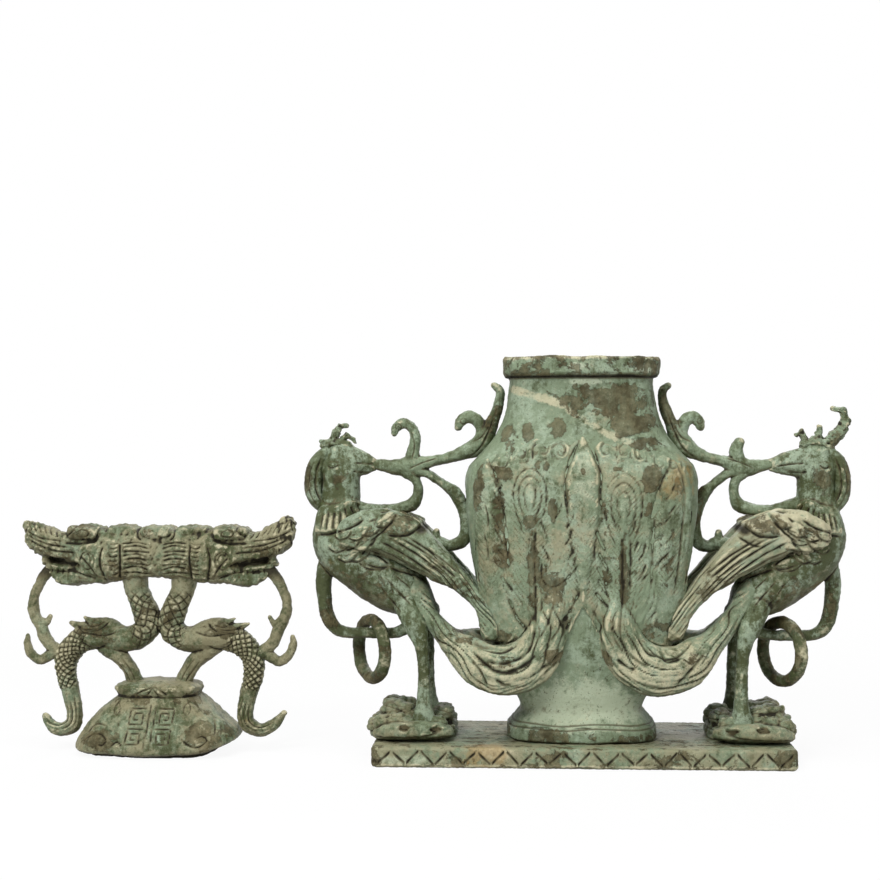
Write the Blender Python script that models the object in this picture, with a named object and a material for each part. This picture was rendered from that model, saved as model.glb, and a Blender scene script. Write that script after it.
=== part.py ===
"""Carved jade ritual vase with a phoenix on each side and a dragon cover that stands beside it.

All sizes are in millimetres, and MM turns them into Blender's metres. X runs along the plinth, Y from
the front to the back and Z up, with the origin in the middle of the plinth's underside. A phoenix is
described once, by its distance u out from the side of the vase's belly and its height z above the
plinth's top, and is built on both sides. A dragon is described by its distance u from the cover's middle and its height z.
"""

import math

import bmesh
import bpy
import numpy as np

MM = 0.001

# Fits
SEAM = 0.3
COVER_CLEARANCE = 1.0

# Plinth
PLINTH_LENGTH = 284.0
PLINTH_DEPTH = 114.0
PLINTH_HEIGHT = 14.0
PLINTH_EDGE = 2.5

# Vase
VASE_HEIGHT = 262.0
VASE_WALL = 8.0
VASE_FLOOR = 60.0
FOOT_WIDTH = 103.0
FOOT_DEPTH = 84.0
FOOT_BAND = 9.0
WAIST_WIDTH = 84.0
WAIST_DEPTH = 66.0
WAIST_HEIGHT = 21.5
BELLY_WIDTH = 161.0
BELLY_DEPTH = 96.0
BELLY_HEIGHT = 172.0
NECK_WIDTH = 100.0
NECK_DEPTH = 65.0
NECK_HEIGHT = 242.0
RIM_WIDTH = 108.0
RIM_DEPTH = 76.0
RIM_HEIGHT = 13.0
RIM_WALL = 6.5
# Shares of the way from the waist to the belly, and from the belly to the neck: up, out and back
LOWER_SWELL = (
    (0.07, 0.12, 0.14),
    (0.13, 0.24, 0.28),
    (0.22, 0.4, 0.45),
    (0.33, 0.56, 0.63),
    (0.48, 0.71, 0.8),
    (0.74, 0.91, 0.97),
)
UPPER_SWELL = (
    (0.19, 0.08, 0.13),
    (0.27, 0.21, 0.24),
    (0.37, 0.43, 0.42),
    (0.5, 0.66, 0.62),
    (0.7, 0.88, 0.85),
)
VASE_CORNER = 3.4
VASE_SIDES = 22

# Phoenix, with its places measured out from the side of the vase's belly
BELLY_SIDE = BELLY_WIDTH / 2
LEG_AXIS = 29.5
LEG_SPREAD = 52.0
REACH = {"left": 1.05, "right": 0.95}
BEAK_TIP = {"left": 63.5, "right": 49.5}
SHOULDER = -8.5
HEAD_AXIS = 84.5
CROWN = 199.0
WING_SPAN = 34.0

# Tail plumes spread over the vase's faces
MANTLE_RELIEF = 4.5
MANTLE_FOOT = 62.0
MANTLE_TOP = 207.0
MANTLE_REACH = 74.0
MANTLE_DROP = 24.0
MANTLE_SCALLOPS = 3
MANTLE_SCALLOP_RISE = 4.0
PLUME_RISE = 1.7
# Plumes on one half of a face: inner edge, outer edge and tip, as shares of the mantle's reach
PLUMES = ((0.03, 0.17, 0.05), (0.24, 0.62, 0.42), (0.7, 0.96, 0.84))

# Captive rings
BAR_HEIGHT = 70.0
BAR_RADIUS = 4.5
RING_PLACE = {"left": 66.0, "right": 58.5}
RING_RADIUS = 20.8
RING_THICKNESS = 9.2
RING_TURN = 32.0

# Cover
COVER_PLACE = -297.0
COVER_WIDTH = 115.0
COVER_DEPTH = 78.0
COVER_EDGE = 4.0
COVER_LIP = 4.0
COVER_LIP_WALL = 5.0
COVER_WALL = 7.0
COLLAR_WIDTH = 64.0
COLLAR_DEPTH = 51.0
COLLAR_HEIGHT = 50.0
COVER_SIDES = 18


def clear_scene():
    for item in list(bpy.data.objects):
        bpy.data.objects.remove(item, do_unlink=True)


def stone(name, colour, roughness):
    """One jade finish, as a plain Principled BSDF."""
    made = bpy.data.materials.new(name)
    made.use_nodes = True
    shader = made.node_tree.nodes["Principled BSDF"]
    shader.inputs["Base Color"].default_value = (*colour, 1.0)
    shader.inputs["Roughness"].default_value = roughness
    shader.inputs["Metallic"].default_value = 0.0
    made.diffuse_color = (*colour, 1.0)
    return made


def solid(name, points, faces):
    """A closed object from points in millimetres, with its faces turned outwards."""
    shape = bmesh.new()
    corners = [shape.verts.new([float(value) * MM for value in point]) for point in points]
    for face in faces:
        shape.faces.new([corners[index] for index in face])
    bmesh.ops.recalc_face_normals(shape, faces=shape.faces)
    twisted = [face for face in shape.faces if len(face.verts) == 4]
    bmesh.ops.triangulate(shape, faces=twisted, quad_method="FIXED")
    mesh = bpy.data.meshes.new(name)
    shape.to_mesh(mesh)
    shape.free()
    made = bpy.data.objects.new(name, mesh)
    bpy.context.scene.collection.objects.link(made)
    return made


def spline(stations, steps):
    """Points on a smooth curve through the stations, with the given steps between each two."""
    rows = np.array(stations, float)
    before = np.vstack([2 * rows[0] - rows[1], rows[:-1]])
    after = np.vstack([rows[1:], 2 * rows[-1] - rows[-2]])
    slopes = (after - before) / 2
    made = []
    for first in range(len(rows) - 1):
        for step in range(steps):
            t = step / steps
            made.append(
                (2 * t**3 - 3 * t**2 + 1) * rows[first]
                + (t**3 - 2 * t**2 + t) * slopes[first]
                + (3 * t**2 - 2 * t**3) * rows[first + 1]
                + (t**3 - t**2) * slopes[first + 1]
            )
    made.append(rows[-1])
    return np.array(made)


def oval(sides, corner):
    """Points round an oval of half-width 1: a corner of 2 is an ellipse, and more is squarer."""
    made = []
    for index in range(sides):
        angle = 2 * math.pi * (index + 0.5) / sides
        c, s = math.cos(angle), math.sin(angle)
        made.append((math.copysign(abs(c) ** (2 / corner), c), math.copysign(abs(s) ** (2 / corner), s)))
    return made


def bridge(rings, sides):
    """Faces between rings of points that follow each other, with both ends closed."""
    faces = [list(range(sides)), list(range((rings - 1) * sides, rings * sides))]
    for ring in range(rings - 1):
        for side in range(sides):
            turn = (side + 1) % sides
            low, high = ring * sides, (ring + 1) * sides
            faces.append([low + side, low + turn, high + turn, high + side])
    return faces


def limb(name, stations, sides=8, steps=1, corner=2.0, grow=0.0, lumps=0.0):
    """A solid swept along stations of (u, z, radius, y, half-depth), with rounded ends."""
    rows = spline(stations, steps)
    rows[:, 2] = np.maximum(rows[:, 2], 0.8) + grow
    rows[:, 4] = np.maximum(rows[:, 4], 0.8) + grow
    centres = rows[:, [0, 3, 1]]
    tangents = np.gradient(centres, axis=0)
    tangents /= np.linalg.norm(tangents, axis=1)[:, None]
    points = []

    def ring(row, middle, size, wave):
        tangent = tangents[row]
        across = np.array([-tangent[2], 0.0, tangent[0]])
        across /= np.linalg.norm(across)
        through = np.cross(tangent, across)
        for side, (a, b) in enumerate(oval(sides, corner)):
            swell = size * (1 + lumps * math.sin(2.1 * side + 1.7 * wave))
            points.append(middle + across * a * rows[row, 2] * swell + through * b * rows[row, 4] * swell)

    cap = 0.55
    for row in range(len(rows)):
        reach = cap * min(rows[row, 2], rows[row, 4])
        if row == 0:
            ring(row, centres[row] - tangents[row] * reach, cap, row)
        ring(row, centres[row], 1.0, row)
        if row == len(rows) - 1:
            ring(row, centres[row] + tangents[row] * reach, cap, row)
    return solid(name, points, bridge(len(rows) + 2, sides))


def block(name, low, high):
    """A plain box between two corners."""
    points = [(x, y, z) for x in (low[0], high[0]) for y in (low[1], high[1]) for z in (low[2], high[2])]
    faces = [(0, 1, 3, 2), (4, 6, 7, 5), (0, 4, 5, 1), (2, 3, 7, 6), (0, 2, 6, 4), (1, 5, 7, 3)]
    return solid(name, points, faces)


def combine(target, others, operation):
    """Joins others to the target, or cuts them from it, and removes them."""
    for other in others:
        cut = target.modifiers.new(operation.title(), "BOOLEAN")
        cut.operation = operation
        cut.solver = "EXACT"
        cut.object = other
        with bpy.context.temp_override(object=target, active_object=target, selected_objects=[target]):
            bpy.ops.object.modifier_apply(modifier=cut.name)
        bpy.data.objects.remove(other, do_unlink=True)
    return target


def finish(piece, material, crease=50.0):
    """Gives a piece its finish, and smooth shading that keeps its sharp edges."""
    piece.data.materials.clear()
    piece.data.materials.append(material)
    piece.data.shade_smooth()
    piece.data.set_sharp_from_angle(angle=math.radians(crease))
    return piece


def put_on_side(piece, side):
    """Turns a piece described by its distance from the belly into one on the left or the right."""
    sign = -1.0 if side == "left" else 1.0
    shape = bmesh.new()
    shape.from_mesh(piece.data)
    for corner in shape.verts:
        corner.co.x = sign * (corner.co.x + BELLY_SIDE * MM)
        corner.co.z += PLINTH_HEIGHT * MM
    if sign < 0:
        bmesh.ops.reverse_faces(shape, faces=shape.faces)
    shape.to_mesh(piece.data)
    shape.free()
    return piece


def end_word(front):
    return "front" if front else "back"


def mirrored(stations, front):
    """Stations on the back, described by those on the front."""
    turn = 1.0 if front else -1.0
    return [(u, z, r, y * turn, d) for u, z, r, y, d in stations]


def plinth_slab(material):
    half_length, half_depth = PLINTH_LENGTH / 2, PLINTH_DEPTH / 2
    slab = block("plinth", (-half_length, -half_depth, 0), (half_length, half_depth, PLINTH_HEIGHT))
    edge = slab.modifiers.new("Worn edge", "BEVEL")
    edge.width = PLINTH_EDGE * MM
    edge.segments = 2
    return finish(slab, material)


def vase_sections():
    """Rows of (height, width, depth) up the outside of the vase, above its foot."""
    rim_foot = VASE_HEIGHT - RIM_HEIGHT
    foot = [
        (0.0, FOOT_WIDTH - 3, FOOT_DEPTH - 3),
        (1.5, FOOT_WIDTH, FOOT_DEPTH),
        (FOOT_BAND, FOOT_WIDTH - 1, FOOT_DEPTH - 1),
        (FOOT_BAND + 1.5, FOOT_WIDTH - 4, FOOT_DEPTH - 4),
    ]
    rise = BELLY_HEIGHT - WAIST_HEIGHT
    swell = BELLY_WIDTH - WAIST_WIDTH
    deepen = BELLY_DEPTH - WAIST_DEPTH
    drop = NECK_HEIGHT - BELLY_HEIGHT
    narrow = BELLY_WIDTH - NECK_WIDTH
    thin = BELLY_DEPTH - NECK_DEPTH
    body = [(WAIST_HEIGHT, WAIST_WIDTH, WAIST_DEPTH)]
    for up, out, back in LOWER_SWELL:
        body.append((WAIST_HEIGHT + up * rise, WAIST_WIDTH + out * swell, WAIST_DEPTH + back * deepen))
    body.append((BELLY_HEIGHT, BELLY_WIDTH, BELLY_DEPTH))
    for up, inward, back in UPPER_SWELL:
        body.append((BELLY_HEIGHT + up * drop, BELLY_WIDTH - inward * narrow, BELLY_DEPTH - back * thin))
    body.append((NECK_HEIGHT, NECK_WIDTH, NECK_DEPTH))
    rim = [
        (rim_foot - 0.5, NECK_WIDTH, NECK_DEPTH + 1),
        (rim_foot, RIM_WIDTH - 3, RIM_DEPTH - 3),
        (rim_foot + 2, RIM_WIDTH, RIM_DEPTH),
        (VASE_HEIGHT - 1.5, RIM_WIDTH, RIM_DEPTH),
        (VASE_HEIGHT, RIM_WIDTH - 2, RIM_DEPTH - 2),
    ]
    return foot, body, rim


def oval_rows(rows, corner, sides, grow=0.0):
    """Points of rounded oblong rings from rows of (height, width, depth)."""
    made = []
    for height, width, depth in rows:
        for a, b in oval(sides, corner):
            made.append((a * (width / 2 + grow), b * (depth / 2 + grow), height))
    return made


def vase_outline(grow=0.0):
    """The vase's outside as rows, foot to rim."""
    foot, body, rim = vase_sections()
    rows = [*foot, *body, *rim]
    if grow:
        rows = [(rows[0][0] - grow, *rows[0][1:]), *rows[1:-1], (rows[-1][0] + grow, *rows[-1][1:])]
    return rows


def mouth_size():
    return RIM_WIDTH - 2 * RIM_WALL, RIM_DEPTH - 2 * RIM_WALL


def vase_cavity():
    """Rows of the hollow, mouth to floor, a wall inside the outside's own sections."""
    mouth_width, mouth_depth = mouth_size()
    rows = [(VASE_HEIGHT, mouth_width, mouth_depth), (VASE_HEIGHT - RIM_HEIGHT, mouth_width, mouth_depth)]
    _, body, _ = vase_sections()
    for height, width, depth in body[::-2]:
        if VASE_FLOOR < height < VASE_HEIGHT - RIM_HEIGHT - 2:
            rows.append((height, width - 2 * VASE_WALL, depth - 2 * VASE_WALL))
    _, width, depth = rows[-1]
    rows.append((VASE_FLOOR, width - 2 * VASE_WALL, depth - 2 * VASE_WALL))
    return rows


def vase_solid(name, grow=0.0):
    """The vase's outside as one solid, used to seat what is carved against it."""
    rows = vase_outline(grow)
    made = solid(name, oval_rows(rows, VASE_CORNER, VASE_SIDES, grow), bridge(len(rows), VASE_SIDES))
    for corner in made.data.vertices:
        corner.co.z += (PLINTH_HEIGHT + SEAM) * MM
    return made


def vase_body(material):
    rows = [*vase_outline(), *vase_cavity()]
    points = oval_rows(rows, VASE_CORNER, VASE_SIDES)
    made = solid("vase", points, bridge(len(rows), VASE_SIDES))
    for corner in made.data.vertices:
        corner.co.z += (PLINTH_HEIGHT + SEAM) * MM
    return finish(made, material)


def seated_vase(name, grow=SEAM):
    """The vase grown a little, in the places of a phoenix, to seat on or to cut with."""
    cutter = vase_solid(name, grow)
    for corner in cutter.data.vertices:
        corner.co.x -= BELLY_SIDE * MM
        corner.co.z -= PLINTH_HEIGHT * MM
    return cutter


def reached(stations, side):
    """Stations in front of the legs, drawn out or in by the side's reach."""
    far = REACH[side]
    return [(LEG_AXIS + (u - LEG_AXIS) * (far if u > LEG_AXIS else 1.0), *rest) for u, *rest in stations]


def torso(name, side, grow=0.0):
    spine = [
        (89.5, 156, 12, 0, 13),
        (88.5, 146, 16, 0, 19),
        (84.5, 131, 19, 0, 23),
        (67.5, 119, 22.5, 0, 26),
        (46.5, 103, 20.5, 0, 25),
        (29.5, 89, 14, 0, 19),
        (18.5, 81, 9, 0, 13),
    ]
    return limb(name, reached(spine, side), sides=10, grow=grow)


def neck(name, side, grow=0.0):
    spine = [
        (HEAD_AXIS + 3, 138, 14, 0, 16),
        (HEAD_AXIS + 1, 158, 14, 0, 14),
        (HEAD_AXIS, 172, 13, 0, 12.5),
        (HEAD_AXIS, CROWN - 14, 13.5, 0, 12.5),
        (HEAD_AXIS, CROWN - 4, 11, 0, 11),
    ]
    return limb(name, reached(spine, side), sides=10, grow=grow)


def head(name, side, grow=0.0):
    back = LEG_AXIS + (HEAD_AXIS - LEG_AXIS) * REACH[side]
    tip = BEAK_TIP[side]
    level = CROWN - 11
    brow = back - 8
    spine = [
        (back + 10, level - 1, 8, 0, 7),
        (back + 2, level, 13, 0, 12),
        (brow, level, 11.5, 0, 10.5),
        (brow + (tip - brow) * 0.45, level + 1, 7, 0, 6.5),
        (tip + 3, level + 1.5, 2.6, 0, 2.8),
    ]
    return limb(name, spine, sides=10, grow=grow)


def bird(name, side, grow=0.0):
    """The phoenix's torso, neck and head as one solid."""
    parts = [neck(f"{name}_neck", side, grow), head(f"{name}_head", side, grow)]
    return combine(torso(name, side, grow), parts, "UNION")


def branch_stations(stations, side):
    """Stations of the spray, drawn in to the beak that holds it."""
    span = (BEAK_TIP[side] - SHOULDER) / (BEAK_TIP["left"] - SHOULDER)
    return [(SHOULDER + (u - SHOULDER) * (span if u > SHOULDER else 1.0), z, r, 0, d) for u, z, r, d in stations]


def stem(name, side, grow=0.0):
    spine = [
        (77.5, 189.5, 2.2, 2.2),
        (63.5, 188.5, 3.4, 3.6),
        (49.5, 186.5, 5.6, 5.0),
        (37.5, 187, 7.5, 6.0),
        (26.5, 190, 4.6, 5.0),
        (14.5, 192.5, 3.9, 5.0),
        (2.5, 196, 5.0, 6.0),
        (-10.5, 203, 7.2, 7.0),
        (-18, 217, 4.8, 6.0),
        (-23, 230, 3.6, 5.0),
        (-24, 239, 3.1, 4.5),
        (-20, 243, 2.4, 3.5),
    ]
    return limb(name, branch_stations(spine, side), sides=6, grow=grow)


def spray(side, material):
    """The branch in the beak, with its scrolls, its arm down the vase and its loop to the neck."""
    scroll = {
        "left": [
            (37.5, 189, 6, 5.5),
            (36.5, 199, 4.2, 5),
            (35.5, 208, 3.6, 4.6),
            (38.5, 215, 3.6, 4.4),
            (44.5, 217, 3.8, 4.4),
            (49, 213.5, 3.2, 3.6),
            (50.5, 210, 1.8, 2.4),
        ],
        "right": [(37.5, 189, 6, 5.5), (35.5, 198, 4.6, 5), (38.5, 204, 3.4, 4)],
    }[side]
    bud = [
        (-10.5, 203, 5.6, 6),
        (-11, 212, 4.3, 5),
        (-8, 219, 4.6, 5),
        (-1.5, 221.5, 4.2, 4.6),
        (3.5, 218, 3.4, 4),
        (5.5, 214, 2.1, 2.6),
    ]
    arm = [
        (35.5, 184.5, 4.6, 5),
        (26.5, 181.5, 3.4, 4.4),
        (16.5, 175, 3.6, 4.4),
        (7.5, 168, 5, 5),
        (1.5, 157, 4.4, 5),
        (0, 146, 3.8, 5),
        (1.5, 135.5, 4.4, 5),
        (11.5, 131.5, 4.2, 5),
        (20.5, 134, 5.2, 5),
        (31.5, 131, 6, 5),
    ]
    loop = [
        (41.5, 183, 4.6, 4.6),
        (35, 177, 3.4, 4),
        (34, 169, 3.4, 4),
        (37.5, 161.5, 3.6, 4),
        (47.5, 159, 3.2, 4),
        (63.5, 158, 3.2, 4),
        (79.5, 162, 4.4, 5),
    ]
    name = f"spray_{side}"
    made = stem(name, side)
    twigs = [
        limb(f"{name}_{index}", branch_stations(twig, side), sides=6)
        for index, twig in enumerate((scroll, bud, arm, loop))
    ]
    combine(made, twigs, "UNION")
    cutters = [
        seated_vase(f"{name}_vase"),
        torso(f"{name}_torso", side, SEAM),
        neck(f"{name}_neck", side, SEAM),
        wing_blade(f"{name}_front", True, SEAM),
        wing_blade(f"{name}_back", False, SEAM),
    ]
    combine(made, cutters, "DIFFERENCE")
    return finish(put_on_side(made, side), material)


def phoenix(side, material):
    """Torso, neck and head, with a socket in the beak for the spray."""
    made = bird(f"phoenix_{side}", side)
    combine(made, [stem(f"socket_{side}", side, SEAM)], "DIFFERENCE")
    return finish(put_on_side(made, side), material)


def lock_curve(name, side, grow=0.0):
    curve = [
        (96.5, 197, 2.8, 0, 6),
        (103, 187, 4.2, 0, 8),
        (105, 175, 4.6, 0, 8.5),
        (103.5, 164, 4.2, 0, 8),
        (95.5, 154, 2.6, 0, 6),
    ]
    return limb(name, reached(curve, side), sides=6, grow=grow)


def nape_lock(side, material):
    """The long lock of feathers behind the head."""
    made = lock_curve(f"nape_lock_{side}", side)
    combine(made, [bird(f"lock_seat_{side}", side, SEAM)], "DIFFERENCE")
    return finish(put_on_side(made, side), material)


def crest(side, material):
    """The crest on the crown: a saddle with curls, taller on the right."""
    middle = LEG_AXIS + (HEAD_AXIS - LEG_AXIS) * REACH[side]
    saddles = {
        "left": [(13, 2, 3.4, 0, 5), (5, 4, 4.8, 0, 8), (-5, 2, 3.2, 0, 6)],
        "right": [(9, 1, 5, 0, 6), (0, 4.5, 5.2, 0, 8), (-9, 3, 3.4, 0, 6)],
    }
    curls = {
        "left": [
            [(6, 5, 3.2, 0, 4), (4, 11, 3, 0, 4), (1, 16.5, 2.4, 0, 3.2), (-4, 16.5, 1.3, 0, 2)],
            [(0, 5, 2.6, 0, 4), (-3.5, 10, 2.2, 0, 3.2), (-8, 7, 1.6, 0, 2.4), (-10, 4.5, 1, 0, 1.6)],
            [(10, 4, 2.4, 0, 4), (15.5, 5.5, 1.3, 0, 2)],
        ],
        "right": [
            [(9, 5, 5, 0, 6), (16, 11, 4.8, 0, 5), (20.5, 20, 3.9, 0, 4), (18, 27, 3, 0, 3.4), (11.5, 28, 1.5, 0, 2)],
            [(-7, 6, 2.6, 0, 4), (-10.5, 12, 2.4, 0, 3.2), (-13.5, 9.5, 1.2, 0, 1.8)],
            [(2, 8, 3.2, 0, 4), (2.5, 15, 1.8, 0, 2.4)],
        ],
    }

    def on_crown(stations):
        return [(middle + u, CROWN + z, r, y, d) for u, z, r, y, d in stations]

    made = limb(f"crest_{side}", on_crown(saddles[side]), sides=6)
    tufts = [
        limb(f"crest_{side}_{index}", on_crown(curl), sides=5) for index, curl in enumerate(curls[side])
    ]
    combine(made, tufts, "UNION")
    seats = [bird(f"crest_seat_{side}", side, SEAM), lock_curve(f"crest_lock_{side}", side, SEAM)]
    combine(made, seats, "DIFFERENCE")
    return finish(put_on_side(made, side), material)


def rock_mass(name, grow=0.0):
    heap = [
        (5.5, 5, 9, 0, 26),
        (12.5, 7, 13, 0, 36),
        (22.5, 8, 14, 0, 41),
        (34.5, 8, 13.5, 0, 43),
        (46.5, 9, 16, 0, 42),
        (56.5, 7, 15, 0, 37),
        (63.5, 4, 9, 0, 28),
    ]
    return limb(name, heap, sides=12, corner=2.3, grow=grow, lumps=0.07)


def rock(side, material):
    """The rockwork that a phoenix stands on, flat where it lies on the plinth."""
    made = rock_mass(f"rock_{side}")
    far = PLINTH_LENGTH
    below = block(f"rock_bed_{side}", (-far, -PLINTH_DEPTH, -far), (far, PLINTH_DEPTH, SEAM))
    combine(made, [below], "DIFFERENCE")
    return finish(put_on_side(made, side), material)


def shank(name, front, grow=0.0):
    half = -LEG_SPREAD / 2
    spine = [
        (LEG_AXIS + 11, 92, 9, half + 9, 8),
        (LEG_AXIS + 4, 77, 7.6, half + 2, 7.6),
        (LEG_AXIS, 66, 5.4, half, 5.4),
        (LEG_AXIS - 1.5, 52, 4.3, half, 4.4),
        (LEG_AXIS - 2, 36, 4.2, half, 4.3),
        (LEG_AXIS - 2, 24, 5.4, half, 5.6),
        (LEG_AXIS - 2, 12, 8, half, 8),
    ]
    return limb(name, mirrored(spine, front), sides=7, grow=grow)


def leg(side, front, material):
    """One leg, from the thigh down to the rock."""
    name = f"leg_{side}_{end_word(front)}"
    made = shank(name, front)
    combine(made, [torso(f"{name}_thigh", side, SEAM), rock_mass(f"{name}_footing", SEAM)], "DIFFERENCE")
    return finish(put_on_side(made, side), material)


def ring_bar(side, material):
    """The bar under the breast that the loose ring hangs on."""
    level, round_bar = BAR_HEIGHT, BAR_RADIUS
    bend = [
        (94.5, 122, 6, 0, 6),
        (96.5, 106, 5.6, 0, 5.6),
        (95, level + 16, 5.2, 0, 5.2),
        (89.5, level + 4, 4.9, 0, 4.9),
        (80.5, level, round_bar, 0, round_bar),
        (69.5, level, round_bar, 0, round_bar),
        (53.5, level, round_bar, 0, round_bar),
        (43.5, level + 2, round_bar, 0, round_bar),
        (33.5, level + 12, 5.4, 0, 5.4),
    ]
    made = limb(f"ring_bar_{side}", reached(bend, side), sides=8)
    combine(made, [torso(f"bar_seat_{side}", side, SEAM)], "DIFFERENCE")
    return finish(put_on_side(made, side), material)


def loose_ring(side, material, rounds=18, sides=7):
    """A ring carved loose on its bar, hanging from it. Its origin is on the bar's axis."""
    radius, thick = RING_RADIUS, RING_THICKNESS / 2
    hang = radius - thick - BAR_RADIUS - SEAM
    turn = math.radians(RING_TURN)
    near = np.array([math.sin(turn), -math.cos(turn), 0.0])
    flat = np.array([math.cos(turn), math.sin(turn), 0.0])
    points = []
    for index in range(rounds):
        angle = 2 * math.pi * index / rounds
        out = near * math.sin(angle) + np.array([0.0, 0.0, math.cos(angle)])
        for a, b in oval(sides, 2.0):
            points.append(out * (radius + a * thick) + flat * b * thick - np.array([0.0, 0.0, hang]))
    faces = []
    for index in range(rounds):
        low, high = index * sides, (index + 1) % rounds * sides
        for side_index in range(sides):
            turned = (side_index + 1) % sides
            faces.append([low + side_index, low + turned, high + turned, high + side_index])
    made = solid(f"ring_{side}", points, faces)
    place = BELLY_SIDE + RING_PLACE[side]
    sign = -1.0 if side == "left" else 1.0
    made.location = (sign * place * MM, 0.0, (PLINTH_HEIGHT + BAR_HEIGHT) * MM)
    return finish(made, material)


def wing_blade(name, front, grow=0.0):
    """A wing before it is seated: coverts over the back, then flight feathers down to the vase."""
    middle = -WING_SPAN / 2 + 2
    blade = [
        (82.5, 141, 10, middle, 15),
        (71.5, 142, 15, middle, 18),
        (57.5, 142, 17, middle, 19),
        (39.5, 135, 16, middle, 19),
        (17, 118, 11, middle - 4, 14),
        (-3, 96, 8.6, middle - 9, 10),
        (-20.5, 74, 8, middle - 14, 8),
    ]
    return limb(name, mirrored(blade, front), sides=10, corner=2.8, grow=grow)


def tail_sweep(name, front, grow=0.0):
    """A tail before it is seated: from the rump round the vase's corner and up its face."""
    face = -BELLY_DEPTH / 2
    sweep = [
        (37.5, 103, 8.5, -13, 8),
        (21.5, 86.5, 9.2, -18, 9),
        (6.5, 70, 11, -27, 10.5),
        (-9.5, 54, 14.5, face + 11, 12.5),
        (-29.5, 49.5, 16.5, face + 5, 13),
        (-47.5, 58, 16.5, face + 4, 11),
        (-57.5, 78, 13.5, face + 2, 8),
        (-62.5, 104, 9, face + 2, 5),
    ]
    return limb(name, mirrored(sweep, front), sides=7, steps=2, grow=grow)


def mantle_outline():
    """Half of the plumes spread on the vase's face, as (x, z) with a scalloped upper edge."""
    foot = [(SEAM / 2, MANTLE_FOOT + 32), (16, MANTLE_FOOT), (52, MANTLE_FOOT - 6), (64, MANTLE_FOOT + 6)]
    edge = [(MANTLE_REACH - 3, MANTLE_FOOT + 40), (MANTLE_REACH, MANTLE_TOP - 40)]
    scallop = MANTLE_REACH / MANTLE_SCALLOPS
    crown = []
    for index in range(MANTLE_SCALLOPS):
        outer = MANTLE_REACH - index * scallop
        for step in range(3):
            angle = math.pi * step / 3
            x = outer - scallop * (1 - math.cos(angle)) / 2
            fall = MANTLE_DROP * (x / MANTLE_REACH) ** 2
            crown.append((x, MANTLE_TOP - fall + MANTLE_SCALLOP_RISE * math.sin(angle)))
    crown.append((SEAM / 2, MANTLE_TOP))
    return [*foot, *edge, *crown]


def plume_outline(inner, outer, tip):
    """One long plume of the mantle, as (x, z): narrow at the foot and pointed at the top."""
    foot = MANTLE_FOOT + MANTLE_DROP * (1 + tip)
    inner, outer, tip = (share * MANTLE_REACH for share in (inner, outer, tip))
    top = MANTLE_TOP - MANTLE_DROP * (tip / MANTLE_REACH) ** 2
    return [
        (inner * 0.55 + outer * 0.35, foot),
        (outer, top - 40),
        (outer * 0.7 + tip * 0.3, top - 12),
        (tip, top),
        (inner * 0.7 + tip * 0.3, top - 12),
        (inner, top - 40),
    ]


def raised_face(name, outline, front, relief):
    """The vase's own surface raised inside an outline on half of a face."""
    near, far = (-BELLY_DEPTH, -WAIST_DEPTH / 4) if front else (WAIST_DEPTH / 4, BELLY_DEPTH)
    points = [(x - BELLY_SIDE, y, z) for y in (near, far) for x, z in outline]
    made = solid(name, points, bridge(2, len(outline)))
    return combine(made, [seated_vase(f"{name}_face", relief)], "INTERSECT")


def mantle(name, front):
    """The plumes on one half of a face: a low ground with long plumes that stand above it."""
    made = raised_face(name, mantle_outline(), front, MANTLE_RELIEF - PLUME_RISE)
    plumes = [
        raised_face(f"{name}_{index}", plume_outline(*plume), front, MANTLE_RELIEF)
        for index, plume in enumerate(PLUMES)
    ]
    return combine(made, plumes, "UNION")


def half_space(name, front):
    """Everything past the middle plane between the front and the back."""
    far = 4 * BELLY_DEPTH
    if front:
        return block(name, (-far, -SEAM / 2, -far), (2 * far, far, 2 * far))
    return block(name, (-far, -far, -far), (2 * far, SEAM / 2, 2 * far))


def wing(side, front, material):
    """One wing, flat against the other over the back and seated on all that it lies against."""
    name = f"wing_{side}_{end_word(front)}"
    made = wing_blade(name, front)
    cutters = [
        half_space(f"{name}_middle", front),
        torso(f"{name}_torso", side, SEAM),
        neck(f"{name}_neck", side, SEAM),
        seated_vase(f"{name}_plumes", MANTLE_RELIEF - PLUME_RISE + SEAM),
        tail_sweep(f"{name}_tail", front, SEAM),
    ]
    combine(made, cutters, "DIFFERENCE")
    return finish(put_on_side(made, side), material)


def tail(side, front, material):
    """One bundle of tail plumes, from the rump to where it spreads over the vase's face."""
    name = f"tail_{side}_{end_word(front)}"
    made = combine(tail_sweep(name, front), [mantle(f"{name}_mantle", front)], "UNION")
    cutters = [
        torso(f"{name}_torso", side, SEAM),
        shank(f"{name}_leg", front, SEAM),
        seated_vase(f"{name}_vase"),
    ]
    combine(made, cutters, "DIFFERENCE")
    return finish(put_on_side(made, side), material)


def cover_solid(name, grow=0.0):
    """The cover's outside as one solid: lip, dome and collar."""
    rows = cover_outline()
    rows = [(height, width + 2 * grow, depth + 2 * grow) for height, width, depth in rows]
    rows[0] = (rows[0][0] - grow, *rows[0][1:])
    rows[-1] = (rows[-1][0] + grow, *rows[-1][1:])
    return solid(name, oval_rows(rows, VASE_CORNER, COVER_SIDES), bridge(len(rows), COVER_SIDES))


def cover_lip():
    mouth_width, mouth_depth = mouth_size()
    return mouth_width - 2 * COVER_CLEARANCE, mouth_depth - 2 * COVER_CLEARANCE


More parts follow.
